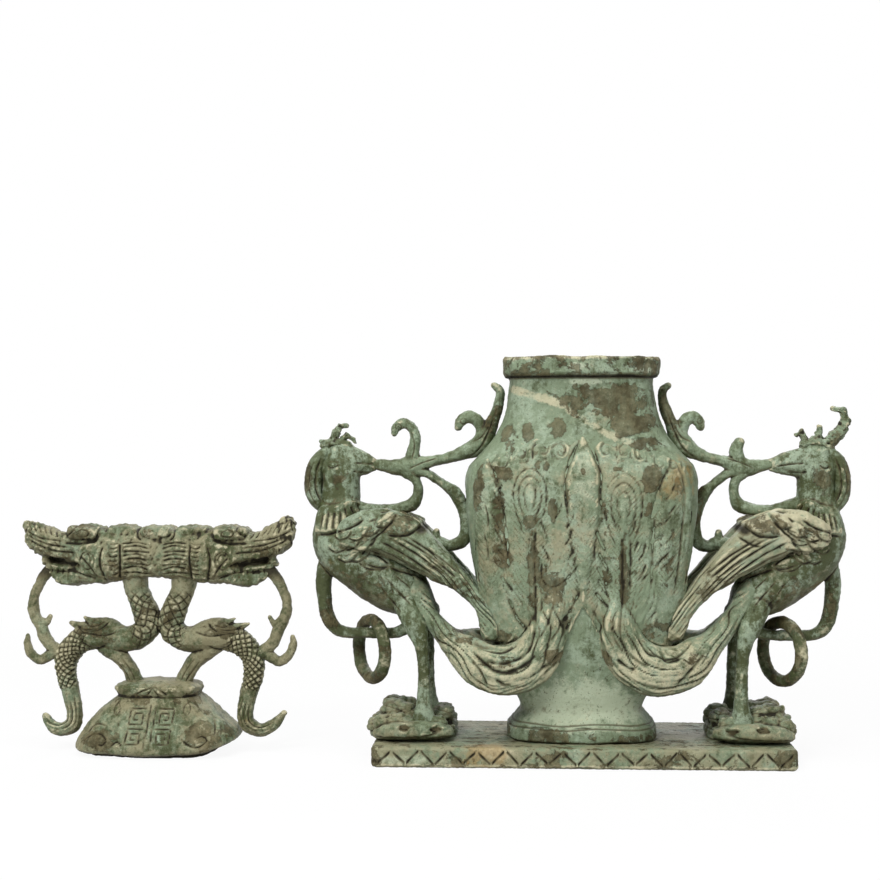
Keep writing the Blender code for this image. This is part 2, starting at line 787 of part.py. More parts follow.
def cover_outline():
    """Rows of (height, width, depth) from the lip's foot over the dome to the collar's top."""
    lip_width, lip_depth = cover_lip()
    edge = COVER_LIP + COVER_EDGE
    throat_width, throat_depth = COLLAR_WIDTH - 6, COLLAR_DEPTH - 6
    throat = COLLAR_HEIGHT - 10
    fall, spread, deepen = throat - edge, COVER_WIDTH - throat_width, COVER_DEPTH - throat_depth
    dome = [(edge, COVER_WIDTH, COVER_DEPTH)]
    for up, inward in ((0.15, 0.05), (0.35, 0.2), (0.6, 0.46), (0.83, 0.78)):
        dome.append((edge + up * fall, COVER_WIDTH - inward * spread, COVER_DEPTH - inward * deepen))
    dome.append((throat, throat_width, throat_depth))
    return [
        (0.0, lip_width, lip_depth),
        (COVER_LIP, lip_width, lip_depth),
        (COVER_LIP, COVER_WIDTH - 5, COVER_DEPTH - 5),
        (COVER_LIP + 1.5, COVER_WIDTH - 1, COVER_DEPTH - 1),
        *dome,
        (throat + 3, COLLAR_WIDTH - 1, COLLAR_DEPTH - 1),
        (COLLAR_HEIGHT - 3, COLLAR_WIDTH, COLLAR_DEPTH),
        (COLLAR_HEIGHT, COLLAR_WIDTH - 5, COLLAR_DEPTH - 5),
    ]


def cover(material):
    """The domed cover, hollow underneath, with a lip that drops into the vase's mouth."""
    lip_width, lip_depth = cover_lip()
    hollow_width, hollow_depth = lip_width - 2 * COVER_LIP_WALL, lip_depth - 2 * COVER_LIP_WALL
    roof = COLLAR_HEIGHT - 10 - COVER_WALL
    hollow = [
        (roof, hollow_width * 0.32, hollow_depth * 0.32),
        (roof * 0.85, hollow_width * 0.56, hollow_depth * 0.56),
        (roof * 0.5, hollow_width * 0.85, hollow_depth * 0.85),
        (COVER_LIP, hollow_width, hollow_depth),
        (0.0, hollow_width, hollow_depth),
    ]
    rows = [*hollow, *cover_outline()]
    made = solid("cover", oval_rows(rows, VASE_CORNER, COVER_SIDES), bridge(len(rows), COVER_SIDES))
    return finish(made, material)


def round_stations(stations):
    """Stations of (u, z, radius) in the cover's middle plane, a little deeper than they are thick."""
    return [(u, z, r, 0, r * 1.1) for u, z, r in stations]


def head_block(name, grow=0.0):
    """A dragon's head and mane: boxy at the back, rising to an open snout."""
    skull = [
        (-6, 140, 18, 0, 14),
        (14, 139.5, 19, 0, 16),
        (32, 138.5, 20, 0, 17),
        (50, 139.5, 18.5, 0, 16),
        (64, 143.5, 12, 0, 13),
        (80, 147, 10, 0, 11),
        (91, 153, 8.5, 0, 9),
        (96, 157, 4, 0, 5),
    ]
    jaw = [(40, 128, 9, 0, 13), (54, 123.5, 6.5, 0, 11), (66, 121, 4.4, 0, 8), (73, 122.5, 2.6, 0, 5)]
    made = limb(name, skull, sides=10, corner=3.0, grow=grow)
    return combine(made, [limb(f"{name}_jaw", jaw, grow=grow)], "UNION")


def put_on_cover(piece, side):
    """Turns a piece described on the cover into one on its left or right half."""
    sign = -1.0 if side == "left" else 1.0
    shape = bmesh.new()
    shape.from_mesh(piece.data)
    for corner in shape.verts:
        corner.co.x *= sign
    if sign < 0:
        bmesh.ops.reverse_faces(shape, faces=shape.faces)
    shape.to_mesh(piece.data)
    shape.free()
    return piece


def cover_middle(name):
    """Everything past the middle plane between the two dragons."""
    far = 4 * COVER_WIDTH
    return block(name, (-far, -far, -far), (SEAM / 2, far, far))


def dragon_head(side, material):
    name = f"dragon_head_{side}"
    made = head_block(name)
    combine(made, [cover_middle(f"{name}_middle")], "DIFFERENCE")
    return finish(put_on_cover(made, side), material)


def dragon_body(name, grow=0.0):
    coil = [
        (15, 124, 9),
        (15, 107, 8),
        (10.5, 96, 9),
        (8, 86, 8.8),
        (16, 79, 9),
        (28, 78, 9.2),
        (43, 81, 10.5),
        (57, 76, 8.6),
        (66, 67, 8),
        (67, 55, 6.8),
        (64, 42, 6),
        (61, 29, 5.6),
        (62.5, 19.5, 5.4),
        (71, 15, 4.8),
        (80, 18, 4),
        (86, 25, 2.4),
    ]
    return limb(name, round_stations(coil), sides=7, grow=grow)


def dragon(side, material):
    """A dragon's coil, its leg on the collar and the tuft over its haunch."""
    hind_leg = [(40, 75, 6), (28, 66, 5.6), (20.5, 57, 5.2), (16, 46, 6.2)]
    tuft = [(27, 84, 4.6), (40, 89.5, 5.2), (52, 88, 3.6), (59, 85, 1.6)]
    name = f"dragon_{side}"
    made = dragon_body(name)
    limbs = [
        limb(f"{name}_leg", round_stations(hind_leg), sides=6),
        limb(f"{name}_tuft", round_stations(tuft), sides=6),
    ]
    combine(made, limbs, "UNION")
    cutters = [
        cover_middle(f"{name}_middle"),
        head_block(f"{name}_head", SEAM),
        cover_solid(f"{name}_cover", SEAM),
    ]
    combine(made, cutters, "DIFFERENCE")
    return finish(put_on_cover(made, side), material)


def dragon_stream(side, material):
    """The stream from a dragon's mouth down to its haunch, with its two hooks."""
    fall = [
        (68, 133, 5),
        (76, 129, 4.6),
        (84, 121, 3.7),
        (90, 108, 3.5),
        (90, 97, 4),
        (85, 87, 4.2),
        (80, 76, 4.4),
        (68, 66, 4.8),
    ]
    inner = [(88, 93, 3.4), (82, 90, 2.6), (78.5, 94.5, 1.5)]
    outer = [(76, 69, 4.4), (85, 63.5, 3.7), (92, 68, 3.2), (95, 75, 2.8), (94.5, 81, 1.6)]
    name = f"dragon_stream_{side}"
    made = limb(name, round_stations(fall), sides=6)
    hooks = [limb(f"{name}_{index}", round_stations(hook), sides=6) for index, hook in enumerate((inner, outer))]
    combine(made, hooks, "UNION")
    combine(made, [head_block(f"{name}_head", SEAM), dragon_body(f"{name}_coil", SEAM)], "DIFFERENCE")
    return finish(put_on_cover(made, side), material)


def main():
    clear_scene()
    plinth_jade = stone("plinth_jade", (0.25, 0.28, 0.21), 0.6)
    vase_jade = stone("vase_jade", (0.32, 0.41, 0.32), 0.5)
    bird_jade = stone("bird_jade", (0.24, 0.31, 0.23), 0.5)
    feather_jade = stone("feather_jade", (0.34, 0.38, 0.29), 0.55)
    rock_jade = stone("rock_jade", (0.33, 0.32, 0.25), 0.7)
    spray_jade = stone("spray_jade", (0.27, 0.34, 0.25), 0.5)
    ring_jade = stone("ring_jade", (0.16, 0.16, 0.1), 0.5)
    cover_jade = stone("cover_jade", (0.26, 0.3, 0.22), 0.55)
    dragon_jade = stone("dragon_jade", (0.24, 0.28, 0.19), 0.6)

    plinth_slab(plinth_jade)
    vase_body(vase_jade)
    for side in ("left", "right"):
        rock(side, rock_jade)
        phoenix(side, bird_jade)
        nape_lock(side, feather_jade)
        crest(side, feather_jade)
        spray(side, spray_jade)
        ring_bar(side, bird_jade)
        loose_ring(side, ring_jade)
        for front in (True, False):
            leg(side, front, bird_jade)
            wing(side, front, feather_jade)
            tail(side, front, feather_jade)

    stand = bpy.data.objects.new("cover_place", None)
    bpy.context.scene.collection.objects.link(stand)
    stand.location = (COVER_PLACE * MM, 0.0, 0.0)
    pieces = [cover(cover_jade)]
    for side in ("left", "right"):
        pieces += [dragon(side, dragon_jade), dragon_head(side, dragon_jade), dragon_stream(side, dragon_jade)]
    for piece in pieces:
        piece.parent = stand


main()
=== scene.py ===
"""Looks of the carved jade vessel: carved skins over the CAD pieces, patina, light and camera.

Lengths in the carving tables are millimetres. x runs along the plinth and z up, as in the CAD. A phoenix is
carved by its distance u from the vase's axis and its height z, a dragon by its distance u from the cover's
middle, and both are carved alike on the front and the back.
"""

import math

import bpy
import numpy as np
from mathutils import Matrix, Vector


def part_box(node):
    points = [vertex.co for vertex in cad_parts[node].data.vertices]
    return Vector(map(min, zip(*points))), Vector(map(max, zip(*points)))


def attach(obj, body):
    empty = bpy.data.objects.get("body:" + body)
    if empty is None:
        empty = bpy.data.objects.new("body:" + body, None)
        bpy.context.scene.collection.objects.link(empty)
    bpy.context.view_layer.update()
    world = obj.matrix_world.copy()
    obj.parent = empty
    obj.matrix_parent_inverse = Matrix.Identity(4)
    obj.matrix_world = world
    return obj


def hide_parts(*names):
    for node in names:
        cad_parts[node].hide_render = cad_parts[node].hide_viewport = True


bl_info = {
    "name": "Carved jade vessel",
    "version": (1, 0, 0),
    "blender": (4, 5, 0),
    "location": "3D View > Sidebar > Jade vessel",
    "description": "Carves and finishes a jade vase with two phoenixes, loose rings and a dragon cover",
    "category": "Object",
}

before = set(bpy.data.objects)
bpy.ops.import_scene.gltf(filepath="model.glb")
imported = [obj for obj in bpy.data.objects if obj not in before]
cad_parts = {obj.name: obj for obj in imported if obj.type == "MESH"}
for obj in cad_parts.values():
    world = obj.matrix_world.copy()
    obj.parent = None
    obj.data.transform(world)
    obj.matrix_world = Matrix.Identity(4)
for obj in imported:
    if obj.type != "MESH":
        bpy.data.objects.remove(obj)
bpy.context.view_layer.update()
MM = 0.001
SIDES = ("left", "right")
ENDS = ("front", "back")
SIGN = {"left": -1.0, "right": 1.0, "front": -1.0, "back": 1.0}
CORNER = 3.4  # how square the vase and the cover are, 2 being an ellipse
COVER_PLACE = -297.0
BELLY_SIDE = 80.5
LEG_AXIS = 110.0
LEG_FROM_BELLY = LEG_AXIS - BELLY_SIDE
HEAD_FROM_LEG = 55.0
REACH = {"left": 1.05, "right": 0.95}
PLINTH_TOP = 14.0
FOOT = 14.3
SHOULDER = -8.5
BEAK_TIP = {"left": 63.5, "right": 49.5}


def colour(name, description, default):
    """A colour that a user may change."""
    return bpy.props.FloatVectorProperty(
        name=name, description=description, default=default, subtype="COLOR", size=3, min=0.0, max=1.0
    )


def length(name, description, default):
    """A length in metres that a user may change."""
    return bpy.props.FloatProperty(
        name=name, description=description, default=default, unit="LENGTH", min=0.0001, precision=4
    )


def share(name, description, default):
    """A share or factor that a user may change."""
    return bpy.props.FloatProperty(
        name=name, description=description, default=default, subtype="FACTOR", min=0.0, max=3.0
    )


class JadeColours(bpy.types.PropertyGroup):
    """Colours of the stone and of what has settled on it."""

    jade: colour("Jade", "The stone's main grey green", (0.185, 0.236, 0.148))
    olive: colour("Olive", "The stone's dark olive", (0.058, 0.069, 0.027))
    light: colour("Light jade", "The stone's paler clouds", (0.31, 0.385, 0.28))
    sand: colour("Sand", "Weathered beige drifts", (0.28, 0.25, 0.15))
    crust: colour("Brown crust", "Burial crust on the stone", (0.046, 0.037, 0.015))
    umber: colour("Umber", "The crust's paler brown", (0.122, 0.1, 0.048))
    cream: colour("Cream", "Worn and weathered ridges", (0.52, 0.478, 0.32))
    # Near-black laid in the cuts as dirt, and in recesses and on downward faces as painted shade
    crevice_and_shade: colour("Crevice", "Dirt in the cuts", (0.01, 0.008, 0.004))
    rust: colour("Rust", "Ochre stains", (0.32, 0.2, 0.07))
    wax: colour("Old wax", "Pale bloom", (0.43, 0.48, 0.345))
    floor: colour("Floor", "Floor and backdrop", (0.75, 0.75, 0.75))


class CarvingSizes(bpy.types.PropertyGroup):
    """Sizes of the carver's work."""

    grain: length("Grain", "Spacing of the carved skin's points", 0.0008)
    depth: share("Cut depth", "Depth of every chisel cut, as a share of the drawn one", 1.0)
    zigzag_pitch: length("Zigzag pitch", "Spacing of the points on the plinth's border", 0.0191)
    zigzag_depth: length("Zigzag depth", "Depth of the plinth's border", 0.0011)
    ring_thickness: length("Ring thickness", "Thickness of a loose ring", 0.0092)
    crag: length("Crag", "Roughness of the rockwork", 0.0034)


# Curves and distances


def curve(points, steps=6):
    """Points on a smooth line through the given ones."""
    rows = np.array(points, float)
    if len(rows) < 3:
        return rows
    before = np.vstack([2 * rows[0] - rows[1], rows[:-1]])
    after = np.vstack([rows[1:], 2 * rows[-1] - rows[-2]])
    slopes = (after - before) / 2
    t = np.arange(steps)[:, None] / steps
    made = []
    for row in range(len(rows) - 1):
        made.append(
            (2 * t**3 - 3 * t**2 + 1) * rows[row]
            + (t**3 - 2 * t**2 + t) * slopes[row]
            + (3 * t**2 - 2 * t**3) * rows[row + 1]
            + (t**3 - t**2) * slopes[row + 1]
        )
    return np.vstack([*made, rows[-1:]])


def near_line(flat, line, reach):
    """The points within reach of a line: which they are, how far, how far along and on which side."""
    low, high = line.min(0) - reach, line.max(0) + reach
    inside = np.nonzero(((flat > low) & (flat < high)).all(1))[0]
    spots = flat[inside]
    best = np.full(len(inside), np.inf)
    along = np.zeros(len(inside))
    side = np.ones(len(inside))
    gone = 0.0
    for start, end in zip(line[:-1], line[1:]):
        step = end - start
        size = max(math.hypot(step[0], step[1]), 1e-6)
        step = step / size
        here = np.clip((spots - start) @ step, 0, size)
        apart = spots - start - here[:, None] * step
        away = np.hypot(apart[:, 0], apart[:, 1])
        closer = away < best
        best[closer] = away[closer]
        along[closer] = gone + here[closer]
        side[closer] = np.where(step[0] * apart[closer, 1] > step[1] * apart[closer, 0], 1.0, -1.0)
        gone += size
    near = best < reach
    return inside[near], best[near], along[near], side[near], gone


def inside_outline(flat, ring):
    """True for the points inside a closed outline."""
    odd = np.zeros(len(flat), bool)
    for start, end in zip(ring, np.roll(ring, -1, axis=0)):
        crosses = (start[1] > flat[:, 1]) != (end[1] > flat[:, 1])
        if not crosses.any():
            continue
        reach = start[0] + (flat[:, 1] - start[1]) * (end[0] - start[0]) / (end[1] - start[1] + 1e-12)
        odd ^= crosses & (flat[:, 0] < reach)
    return odd


def depth_inside(flat, ring, reach):
    """How far the points are inside a closed line, up to a reach, and below zero outside it."""
    inside = inside_outline(flat, ring[:-1])
    deep = np.where(inside, reach, -reach).astype(float)
    spots, away, *_ = near_line(flat, ring, reach)
    deep[spots] = np.where(inside[spots], away, -away)
    return deep


def smooth_step(value, low, high):
    """0 below low, 1 above high and an even passage between."""
    t = np.clip((value - low) / (high - low), 0, 1)
    return t * t * (3 - 2 * t)


def drift(place, size, seed=0):
    """Slow, repeatable waves over a surface, about one up or down, for hand-carved unevenness."""
    ways = np.random.default_rng(seed).normal(size=(7, 3))
    turns = np.random.default_rng(seed + 1).uniform(0, 6.28, 7)
    return sum(np.sin(place @ way / size * 2.2 + turn) for way, turn in zip(ways, turns)) / 3.2


# Carving


def read(rows, key):
    """Three numbers for each row of a mesh's data."""
    made = np.empty(len(rows) * 3, np.float32)
    rows.foreach_get(key, made)
    return made.reshape(-1, 3).astype(float)


def move(mesh, place):
    """Puts a mesh's points at places in millimetres."""
    mesh.vertices.foreach_set("co", (place * MM).astype(np.float32).ravel())
    mesh.update()


class Skin:
    """A piece's surface while it is carved: how far each point rises or is cut, and what settles there."""

    def __init__(self, piece):
        self.piece = piece
        self.place = read(piece.data.vertices, "co") / MM
        self.normal = read(piece.data.vertex_normals, "vector")
        self.flat = self.place[:, [0, 2]]
        self.facing = np.clip((np.abs(self.normal[:, 1]) - 0.08) / 0.35, 0, 1)
        self.rise, self.bite, self.cut, self.worn, self.crust, self.pale = np.zeros((6, len(self.place)))

    def at_least(self, field, value, spots=slice(None)):
        """Lifts a field to a value where it is lower, at every point or at some."""
        kept = getattr(self, field)
        kept[spots] = np.maximum(kept[spots], value)

    def waves(self, *rows):
        """Unevenness from rows of (height, size, seed)."""
        return sum(height * drift(self.place, size, seed) for height, size, seed in rows)

    @staticmethod
    def thinning(part, steep, start):
        """The strength of a line, which is least at its two ends."""
        return np.clip(np.minimum(part, 1 - part) * steep + start, 0, 1)

    def groove(self, line, width, depth, dark=0.9, soft=0.0):
        """A chisel line that thins at its ends, with rounded shoulders where soft is given."""
        reach = max(width * 3, soft * 2.2)
        spots, away, along, _, whole = near_line(self.flat, curve(line), reach)
        taper = self.thinning(along / whole, 6, 0.3) * self.facing[spots]
        taper = taper * (0.76 + 0.24 * np.sin(along / 4.7 + line[0][0]) * np.sin(along / 2.3 + line[0][1]))
        bite = np.clip(1 - away / width, 0, 1) * taper
        self.at_least("bite", bite * depth, spots)
        self.at_least("cut", bite * dark, spots)
        # Cream on the shoulders beside the cut: wear, and partly a painted highlight
        lip = np.exp(-(((away - 1.8 * width) / (0.7 * width)) ** 2)) * taper
        self.at_least("worn", 0.3 * lip, spots)
        if soft:
            self.rise[spots] -= depth * 0.5 * np.exp(-((away / soft) ** 2)) * taper

    def grooves(self, table, soft=0.0, dark=0.9):
        """Every line of a table of (width, depth, points)."""
        for width, depth, line in table:
            self.groove(line, width, depth, dark, soft)

    def ridge(self, line, width, height):
        """A raised line with a rounded back."""
        spots, away, along, _, whole = near_line(self.flat, curve(line), width)
        taper = self.thinning(along / whole, 8, 0.2) * self.facing[spots]
        swell = np.sqrt(np.clip(1 - (away / width) ** 2, 0, 1)) * taper
        self.at_least("rise", swell * height, spots)
        self.at_least("worn", 0.5 * swell, spots)

    def oval(self, centre, half, width, depth, dark):
        """A cut round an oval."""
        turn = np.linspace(0, 2 * math.pi, 9)
        ring = np.column_stack([centre[0] + half[0] * np.cos(turn), centre[1] + half[1] * np.sin(turn)])
        self.groove(np.vstack([ring, ring[1:3]]), width, depth, dark)

    def raised(self, outline, height, edge):
        """An area that stands proud of the rest, with a soft edge."""
        deep = depth_inside(self.flat, curve([*outline, outline[0]], 4), edge)
        self.rise += height * smooth_step(deep, -edge, edge) * self.facing

    def band(self, line, widths, span, passage):
        """The points beside a line: which, how far along and across from -1 to 1, the half-width and a fade."""
        stations = np.array(line, float)
        gaps = np.hypot(*np.diff(stations, axis=0).T)
        marks = np.concatenate([[0], np.cumsum(gaps)]) / gaps.sum()
        spots, away, gone, side, whole = near_line(self.flat, curve(line), max(widths))
        part = gone / whole
        half = np.interp(part, marks, widths)
        across = away * side / half
        start, end = span
        fade = smooth_step(part, start, start + passage) * (1 - smooth_step(part, end - passage, end))
        return spots, gone, across, half, fade * (np.abs(across) < 1.0)

    def strands(self, line, widths, count, depth, span, dark, wander=0.15, seed=0, sharp=0.16):
        """Long lines side by side that spread and gather with the widths, as feathers or hair."""
        spots, gone, across, _, fade = self.band(line, widths, span, 0.06)
        fade = fade * self.facing[spots]
        phase = (across + 1) / 2 * count + 2 * wander * drift(self.place[spots], 20, seed + 30)
        apart = np.abs(phase - np.round(phase))
        bite = np.clip(1 - apart / sharp, 0, 1) * fade
        uneven = np.clip(0.5 + 0.6 * np.sin(gone / 14 + 5 * np.round(phase) + seed), 0.1, 1)
        fold = (0.4 - 0.4 * np.cos(2 * math.pi * phase) - 0.4) * (0.4 + 0.6 * uneven)
        self.rise[spots] += depth * fold * fade
        self.at_least("bite", bite * depth * 0.7 * uneven, spots)
        self.at_least("cut", bite * dark * uneven, spots)
        crown = np.clip((apart - 0.3) / 0.2, 0, 1) * fade
        self.at_least("worn", 0.36 * crown, spots)

    def scales(self, line, widths, pitch, depth, span, bead=0.0):
        """Crossed cuts that leave diamonds, or beads where bead is given."""
        spots, gone, across, half, fade = self.band(line, widths, span, 0.03)
        fade = fade * np.clip(self.facing[spots] * 1.5, 0, 1)
        skew = 0.35 * drift(self.place[spots], 14, 5)
        one = (gone + across * half) / pitch + skew
        two = (gone - across * half) / pitch - skew
        apart = np.minimum(np.abs(one - np.round(one)), np.abs(two - np.round(two)))
        bite = np.clip(1 - apart / 0.17, 0, 1) * fade
        self.at_least("bite", bite * depth, spots)
        self.at_least("cut", bite * 0.75, spots)
        swell = np.clip(apart / 0.5, 0, 1) * fade
        self.rise[spots] += (depth * 0.3 + bead) * swell
        self.at_least("worn", 0.45 * swell, spots)

    def settle_on(self, field, patches):
        """Soft-edged patches, as (x, z, half-width, half-height, strength), where a finish gathers."""
        for x, z, wide, high, much in patches:
            far = np.hypot((self.flat[:, 0] - x) / wide, (self.flat[:, 1] - z) / high)
            self.at_least(field, much * np.clip(1.5 - far, 0, 1))

    def streak(self, field, line, width, much):
        """A soft-edged band along a line, where a finish gathers."""
        spots, away, *_ = near_line(self.flat, curve(line), 1.6 * width)
        self.at_least(field, much * np.clip(1.5 - away / width, 0, 1), spots)

    def finish(self, look, body, nodes, hollows=1.0, slot=None):
        """Writes the carved places, paints shade and dirt into recesses and onto downward faces, lightens ridges as
        wear and painted highlight, and hands the piece to its body.
        """
        mesh = self.piece.data
        depth = bpy.context.scene.carving_sizes.depth
        pitted = self.waves((0.13, 3.0, 201), (0.08, 1.7, 203))
        place = self.place + self.normal * (self.rise + pitted - self.bite * depth)[:, None]
        move(mesh, place)
        normal = read(mesh.vertex_normals, "vector")
        ends = np.empty(len(mesh.edges) * 2, np.int32)
        mesh.edges.foreach_get("vertices", ends)
        first, second = ends.reshape(-1, 2).T
        count = np.bincount(first, minlength=len(place)) + np.bincount(second, minlength=len(place))
        eased, cut, worn = place, self.cut, self.worn
        # Painted shade and painted highlight: the skin eased at two scales finds recesses, which darken as dirt and
        # painted shade, and ridges, which lighten as wear and painted highlight
        for passes, strength in ((10, 2.0), (30, 0.8)):
            for _ in range(passes):
                total = np.empty_like(eased)
                for axis in range(3):
                    value = eased[:, axis]
                    total[:, axis] = np.bincount(first, value[second], len(place))
                    total[:, axis] += np.bincount(second, value[first], len(place))
                eased = total / np.maximum(count, 1)[:, None]
            hollow = np.einsum("ij,ij->i", eased - place, normal) * hollows * strength
            cut = np.maximum(cut, np.clip(hollow - 0.1, 0, 0.9))
            worn = np.maximum(worn, np.clip(-hollow - 0.1, 0, 1))
        # Painted shade: points that face downwards are darkened, as in the shade under overhangs
        cut = np.maximum(cut, 0.42 * smooth_step(-normal[:, 2], 0.2, 0.95))
        worn = np.clip(worn * (1 - cut), 0, 1)
        packed = np.column_stack([cut, worn, np.clip(self.crust, 0, 1), np.clip(self.pale, 0, 1)])
        made = mesh.attributes.new("carving", "FLOAT_COLOR", "POINT")
        made.data.foreach_set("color", packed.astype(np.float32).ravel())
        hand_over(self.piece, finish_named(look), body, nodes)


def hand_over(piece, finish, body, nodes):
    """Smooth shading, the finish, and the body and nodes that the piece stands for."""
    piece.data.shade_smooth()
    piece.data.materials.clear()
    piece.data.materials.append(finish)
    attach(piece, body)
    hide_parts(*nodes)


def start_fresh():
    """Deselects everything, so that an operator acts on the new piece alone."""
    if bpy.context.object and bpy.context.object.mode != "OBJECT":
        bpy.ops.object.mode_set(mode="OBJECT")
    bpy.ops.object.select_all(action="DESELECT")


def take_up(piece):
    """Selects one piece alone and makes it active."""
    start_fresh()
    piece.select_set(True)
    bpy.context.view_layer.objects.active = piece


def on_every_point(act, **settings):
    """Runs an operator on every point of the active piece."""
    bpy.ops.object.mode_set(mode="EDIT")
    bpy.ops.mesh.select_all(action="SELECT")
    act(**settings)
    bpy.ops.object.mode_set(mode="OBJECT")


def apply(piece, kind, name, **settings):
    """Adds a modifier and applies it."""
    take_up(piece)
    made = piece.modifiers.new(name, kind)
    for key, value in settings.items():
        setattr(made, key, value)
    bpy.ops.object.modifier_apply(modifier=made.name)


def rough_out(name, grain, rounds, limbs=(), nodes=(), swell=0.0):
    """Joins copies of CAD pieces and limbs into closed bodies with an even skin, their facets rubbed away."""
    parts = list(limbs)
    for node in nodes:
        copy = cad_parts[node].copy()
        copy.data = copy.data.copy()
        copy.parent = None
        for key in list(copy.keys()):
            del copy[key]
        copy.hide_render = False
        copy.hide_viewport = False
        bpy.context.scene.collection.objects.link(copy)
        parts.append(copy)
    start_fresh()
    for part in parts:
        part.select_set(True)
        bpy.context.view_layer.objects.active = part
    if len(parts) > 1:
        bpy.ops.object.join()
    piece = bpy.context.view_layer.objects.active
    piece.name = name
    on_every_point(bpy.ops.mesh.remove_doubles, threshold=0.00001)
    if swell:
        apply(piece, "DISPLACE", "Swell", strength=swell * MM, mid_level=0.0)
    piece.data.remesh_voxel_size = bpy.context.scene.carving_sizes.grain * grain
    bpy.ops.object.voxel_remesh()
    if not piece.data.vertices:
        raise RuntimeError(f"{name} came out empty")
    apply(piece, "SMOOTH", "Rub", factor=0.5, iterations=rounds)
    return piece


LIMB_SIDES = 26


def station(u, z, radius, *rest):
    """A whole station: in the middle plane, and a little deeper than it is thick, unless it says otherwise."""
    return (u, z, radius, *((0, *rest)[-2:] if rest else (0, radius * 1.1)))


def limb(stations, put, corner=2.0):
    """A closed body swept through stations, with rounded ends."""
    rows = curve([station(*row) for row in stations])
    rows[:, [2, 4]] = np.maximum(rows[:, [2, 4]], 0.8)
    middle = rows[:, [0, 3, 1]]
    way = np.gradient(middle, axis=0)
    way /= np.linalg.norm(way, axis=1)[:, None]
    ring = oblong(LIMB_SIDES, corner)
    last = len(rows) - 1
    marks = [(0, -80), (0, -50), (0, -25), *((row, 0) for row in range(last + 1)), (last, 25), (last, 50), (last, 80)]
    rings = []
    for row, turn in marks:
        lean = math.radians(turn)
        across = np.array([-way[row, 2], 0.0, way[row, 0]])
        across /= np.linalg.norm(across)
        through = np.cross(way[row], across)
        shape = ring[:, :1] * across * rows[row, 2] + ring[:, 1:] * through * rows[row, 4]
        reach = way[row] * math.sin(lean) * min(rows[row, 2], rows[row, 4])
        rings.append(middle[row] + reach + shape * math.cos(lean))
    return loft("limb", put(np.array(rings)))


def on_side(side):
    """Puts points of a phoenix on its side of the vase."""
    return lambda points: points * (SIGN[side], 1, 1) + (SIGN[side] * BELLY_SIDE, 0, PLINTH_TOP)


def on_cover(side):
    """Puts points of a dragon on its half of the cover."""
    return lambda points: points * (SIGN[side], 1, 1) + (COVER_PLACE, 0, 0)


def towards(stations, end):
    """Stations on the front or on the back."""
    return [(u, z, r, SIGN[end] * y, d) for u, z, r, y, d in stations]


def reached(stations, side):
    """Stations before the legs, drawn out or in by the side's reach."""
    axis = LEG_FROM_BELLY
    return [(axis + (u - axis) * (REACH[side] if u > axis else 1.0), *rest) for u, *rest in stations]


def drawn_in(stations, side):
    """Stations of a spray, drawn in to the beak that holds it."""
    span = (BEAK_TIP[side] - SHOULDER) / (BEAK_TIP["left"] - SHOULDER)
    return [(SHOULDER + (u - SHOULDER) * (span if u > SHOULDER else 1.0), *rest) for u, *rest in stations]


def loft(name, rows):
    """A closed body from rings of points in millimetres that follow each other."""
    rings, sides, _ = rows.shape
    index = np.arange(rings * sides).reshape(rings, sides)
    turned = np.roll(index, -1, axis=1)
    faces = np.stack([index[:-1], turned[:-1], turned[1:], index[1:]], axis=-1).reshape(-1, 4).tolist()
    faces += [index[0][::-1].tolist(), index[-1].tolist()]
    mesh = bpy.data.meshes.new(name)
    mesh.from_pydata((rows.reshape(-1, 3) * MM).tolist(), [], faces)
    piece = bpy.data.objects.new(name, mesh)
    bpy.context.scene.collection.objects.link(piece)
    take_up(piece)
    on_every_point(bpy.ops.mesh.normals_make_consistent, inside=False)
    return piece


def oblong(sides, corner):
    """Points round an oblong of half-width 1, spread evenly; a corner of 2 is an ellipse."""
    turn = np.linspace(0, 2 * math.pi, 4001)
    c, s = np.cos(turn), np.sin(turn)
    ring = np.column_stack([np.sign(c) * np.abs(c) ** (2 / corner), np.sign(s) * np.abs(s) ** (2 / corner)])
    gaps = np.hypot(*np.diff(ring, axis=0).T)
    gone = np.concatenate([[0], np.cumsum(gaps)])
    marks = np.linspace(0, gone[-1], sides, endpoint=False)
    return np.column_stack([np.interp(marks, gone, ring[:, 0]), np.interp(marks, gone, ring[:, 1])])


def oblong_rows(rows, sides):
    """Rings of the vase or the cover from rows of (height, width, depth)."""
    x, y = oblong(sides, CORNER).T
    return np.array([np.column_stack([x * w / 2, y * d / 2, np.full(sides, h)]) for h, w, d in rows])


def spread(rows, gap):
    """Rows with more between them, so that none is further than gap from the next."""
    rows = np.array(rows)
    made = [rows[0]]
    for row, following in zip(rows[:-1], rows[1:]):
        count = max(1, math.ceil(np.linalg.norm(following - row) / gap))
        made += [row + (following - row) * step / count for step in range(1, count + 1)]
    return np.array(made)


# Finishes


class Shade:
    """A socket of a material that takes part in sums."""

    def __init__(self, maker, socket):
        self.maker = maker
        self.socket = socket

    def sum(self, operation, first, second):
        """A node that reckons with two values or sockets."""
        return self.maker.node("ShaderNodeMath", {"operation": operation}, {0: first, 1: second})

    def __add__(self, other):
        return self.sum("ADD", self, other)

    def __mul__(self, other):
        return self.sum("MULTIPLY", self, other)

    def __sub__(self, other):
        return self.sum("SUBTRACT", self, other)

    def __rsub__(self, other):
        return self.sum("SUBTRACT", other, self)

    __radd__ = __add__
    __rmul__ = __mul__


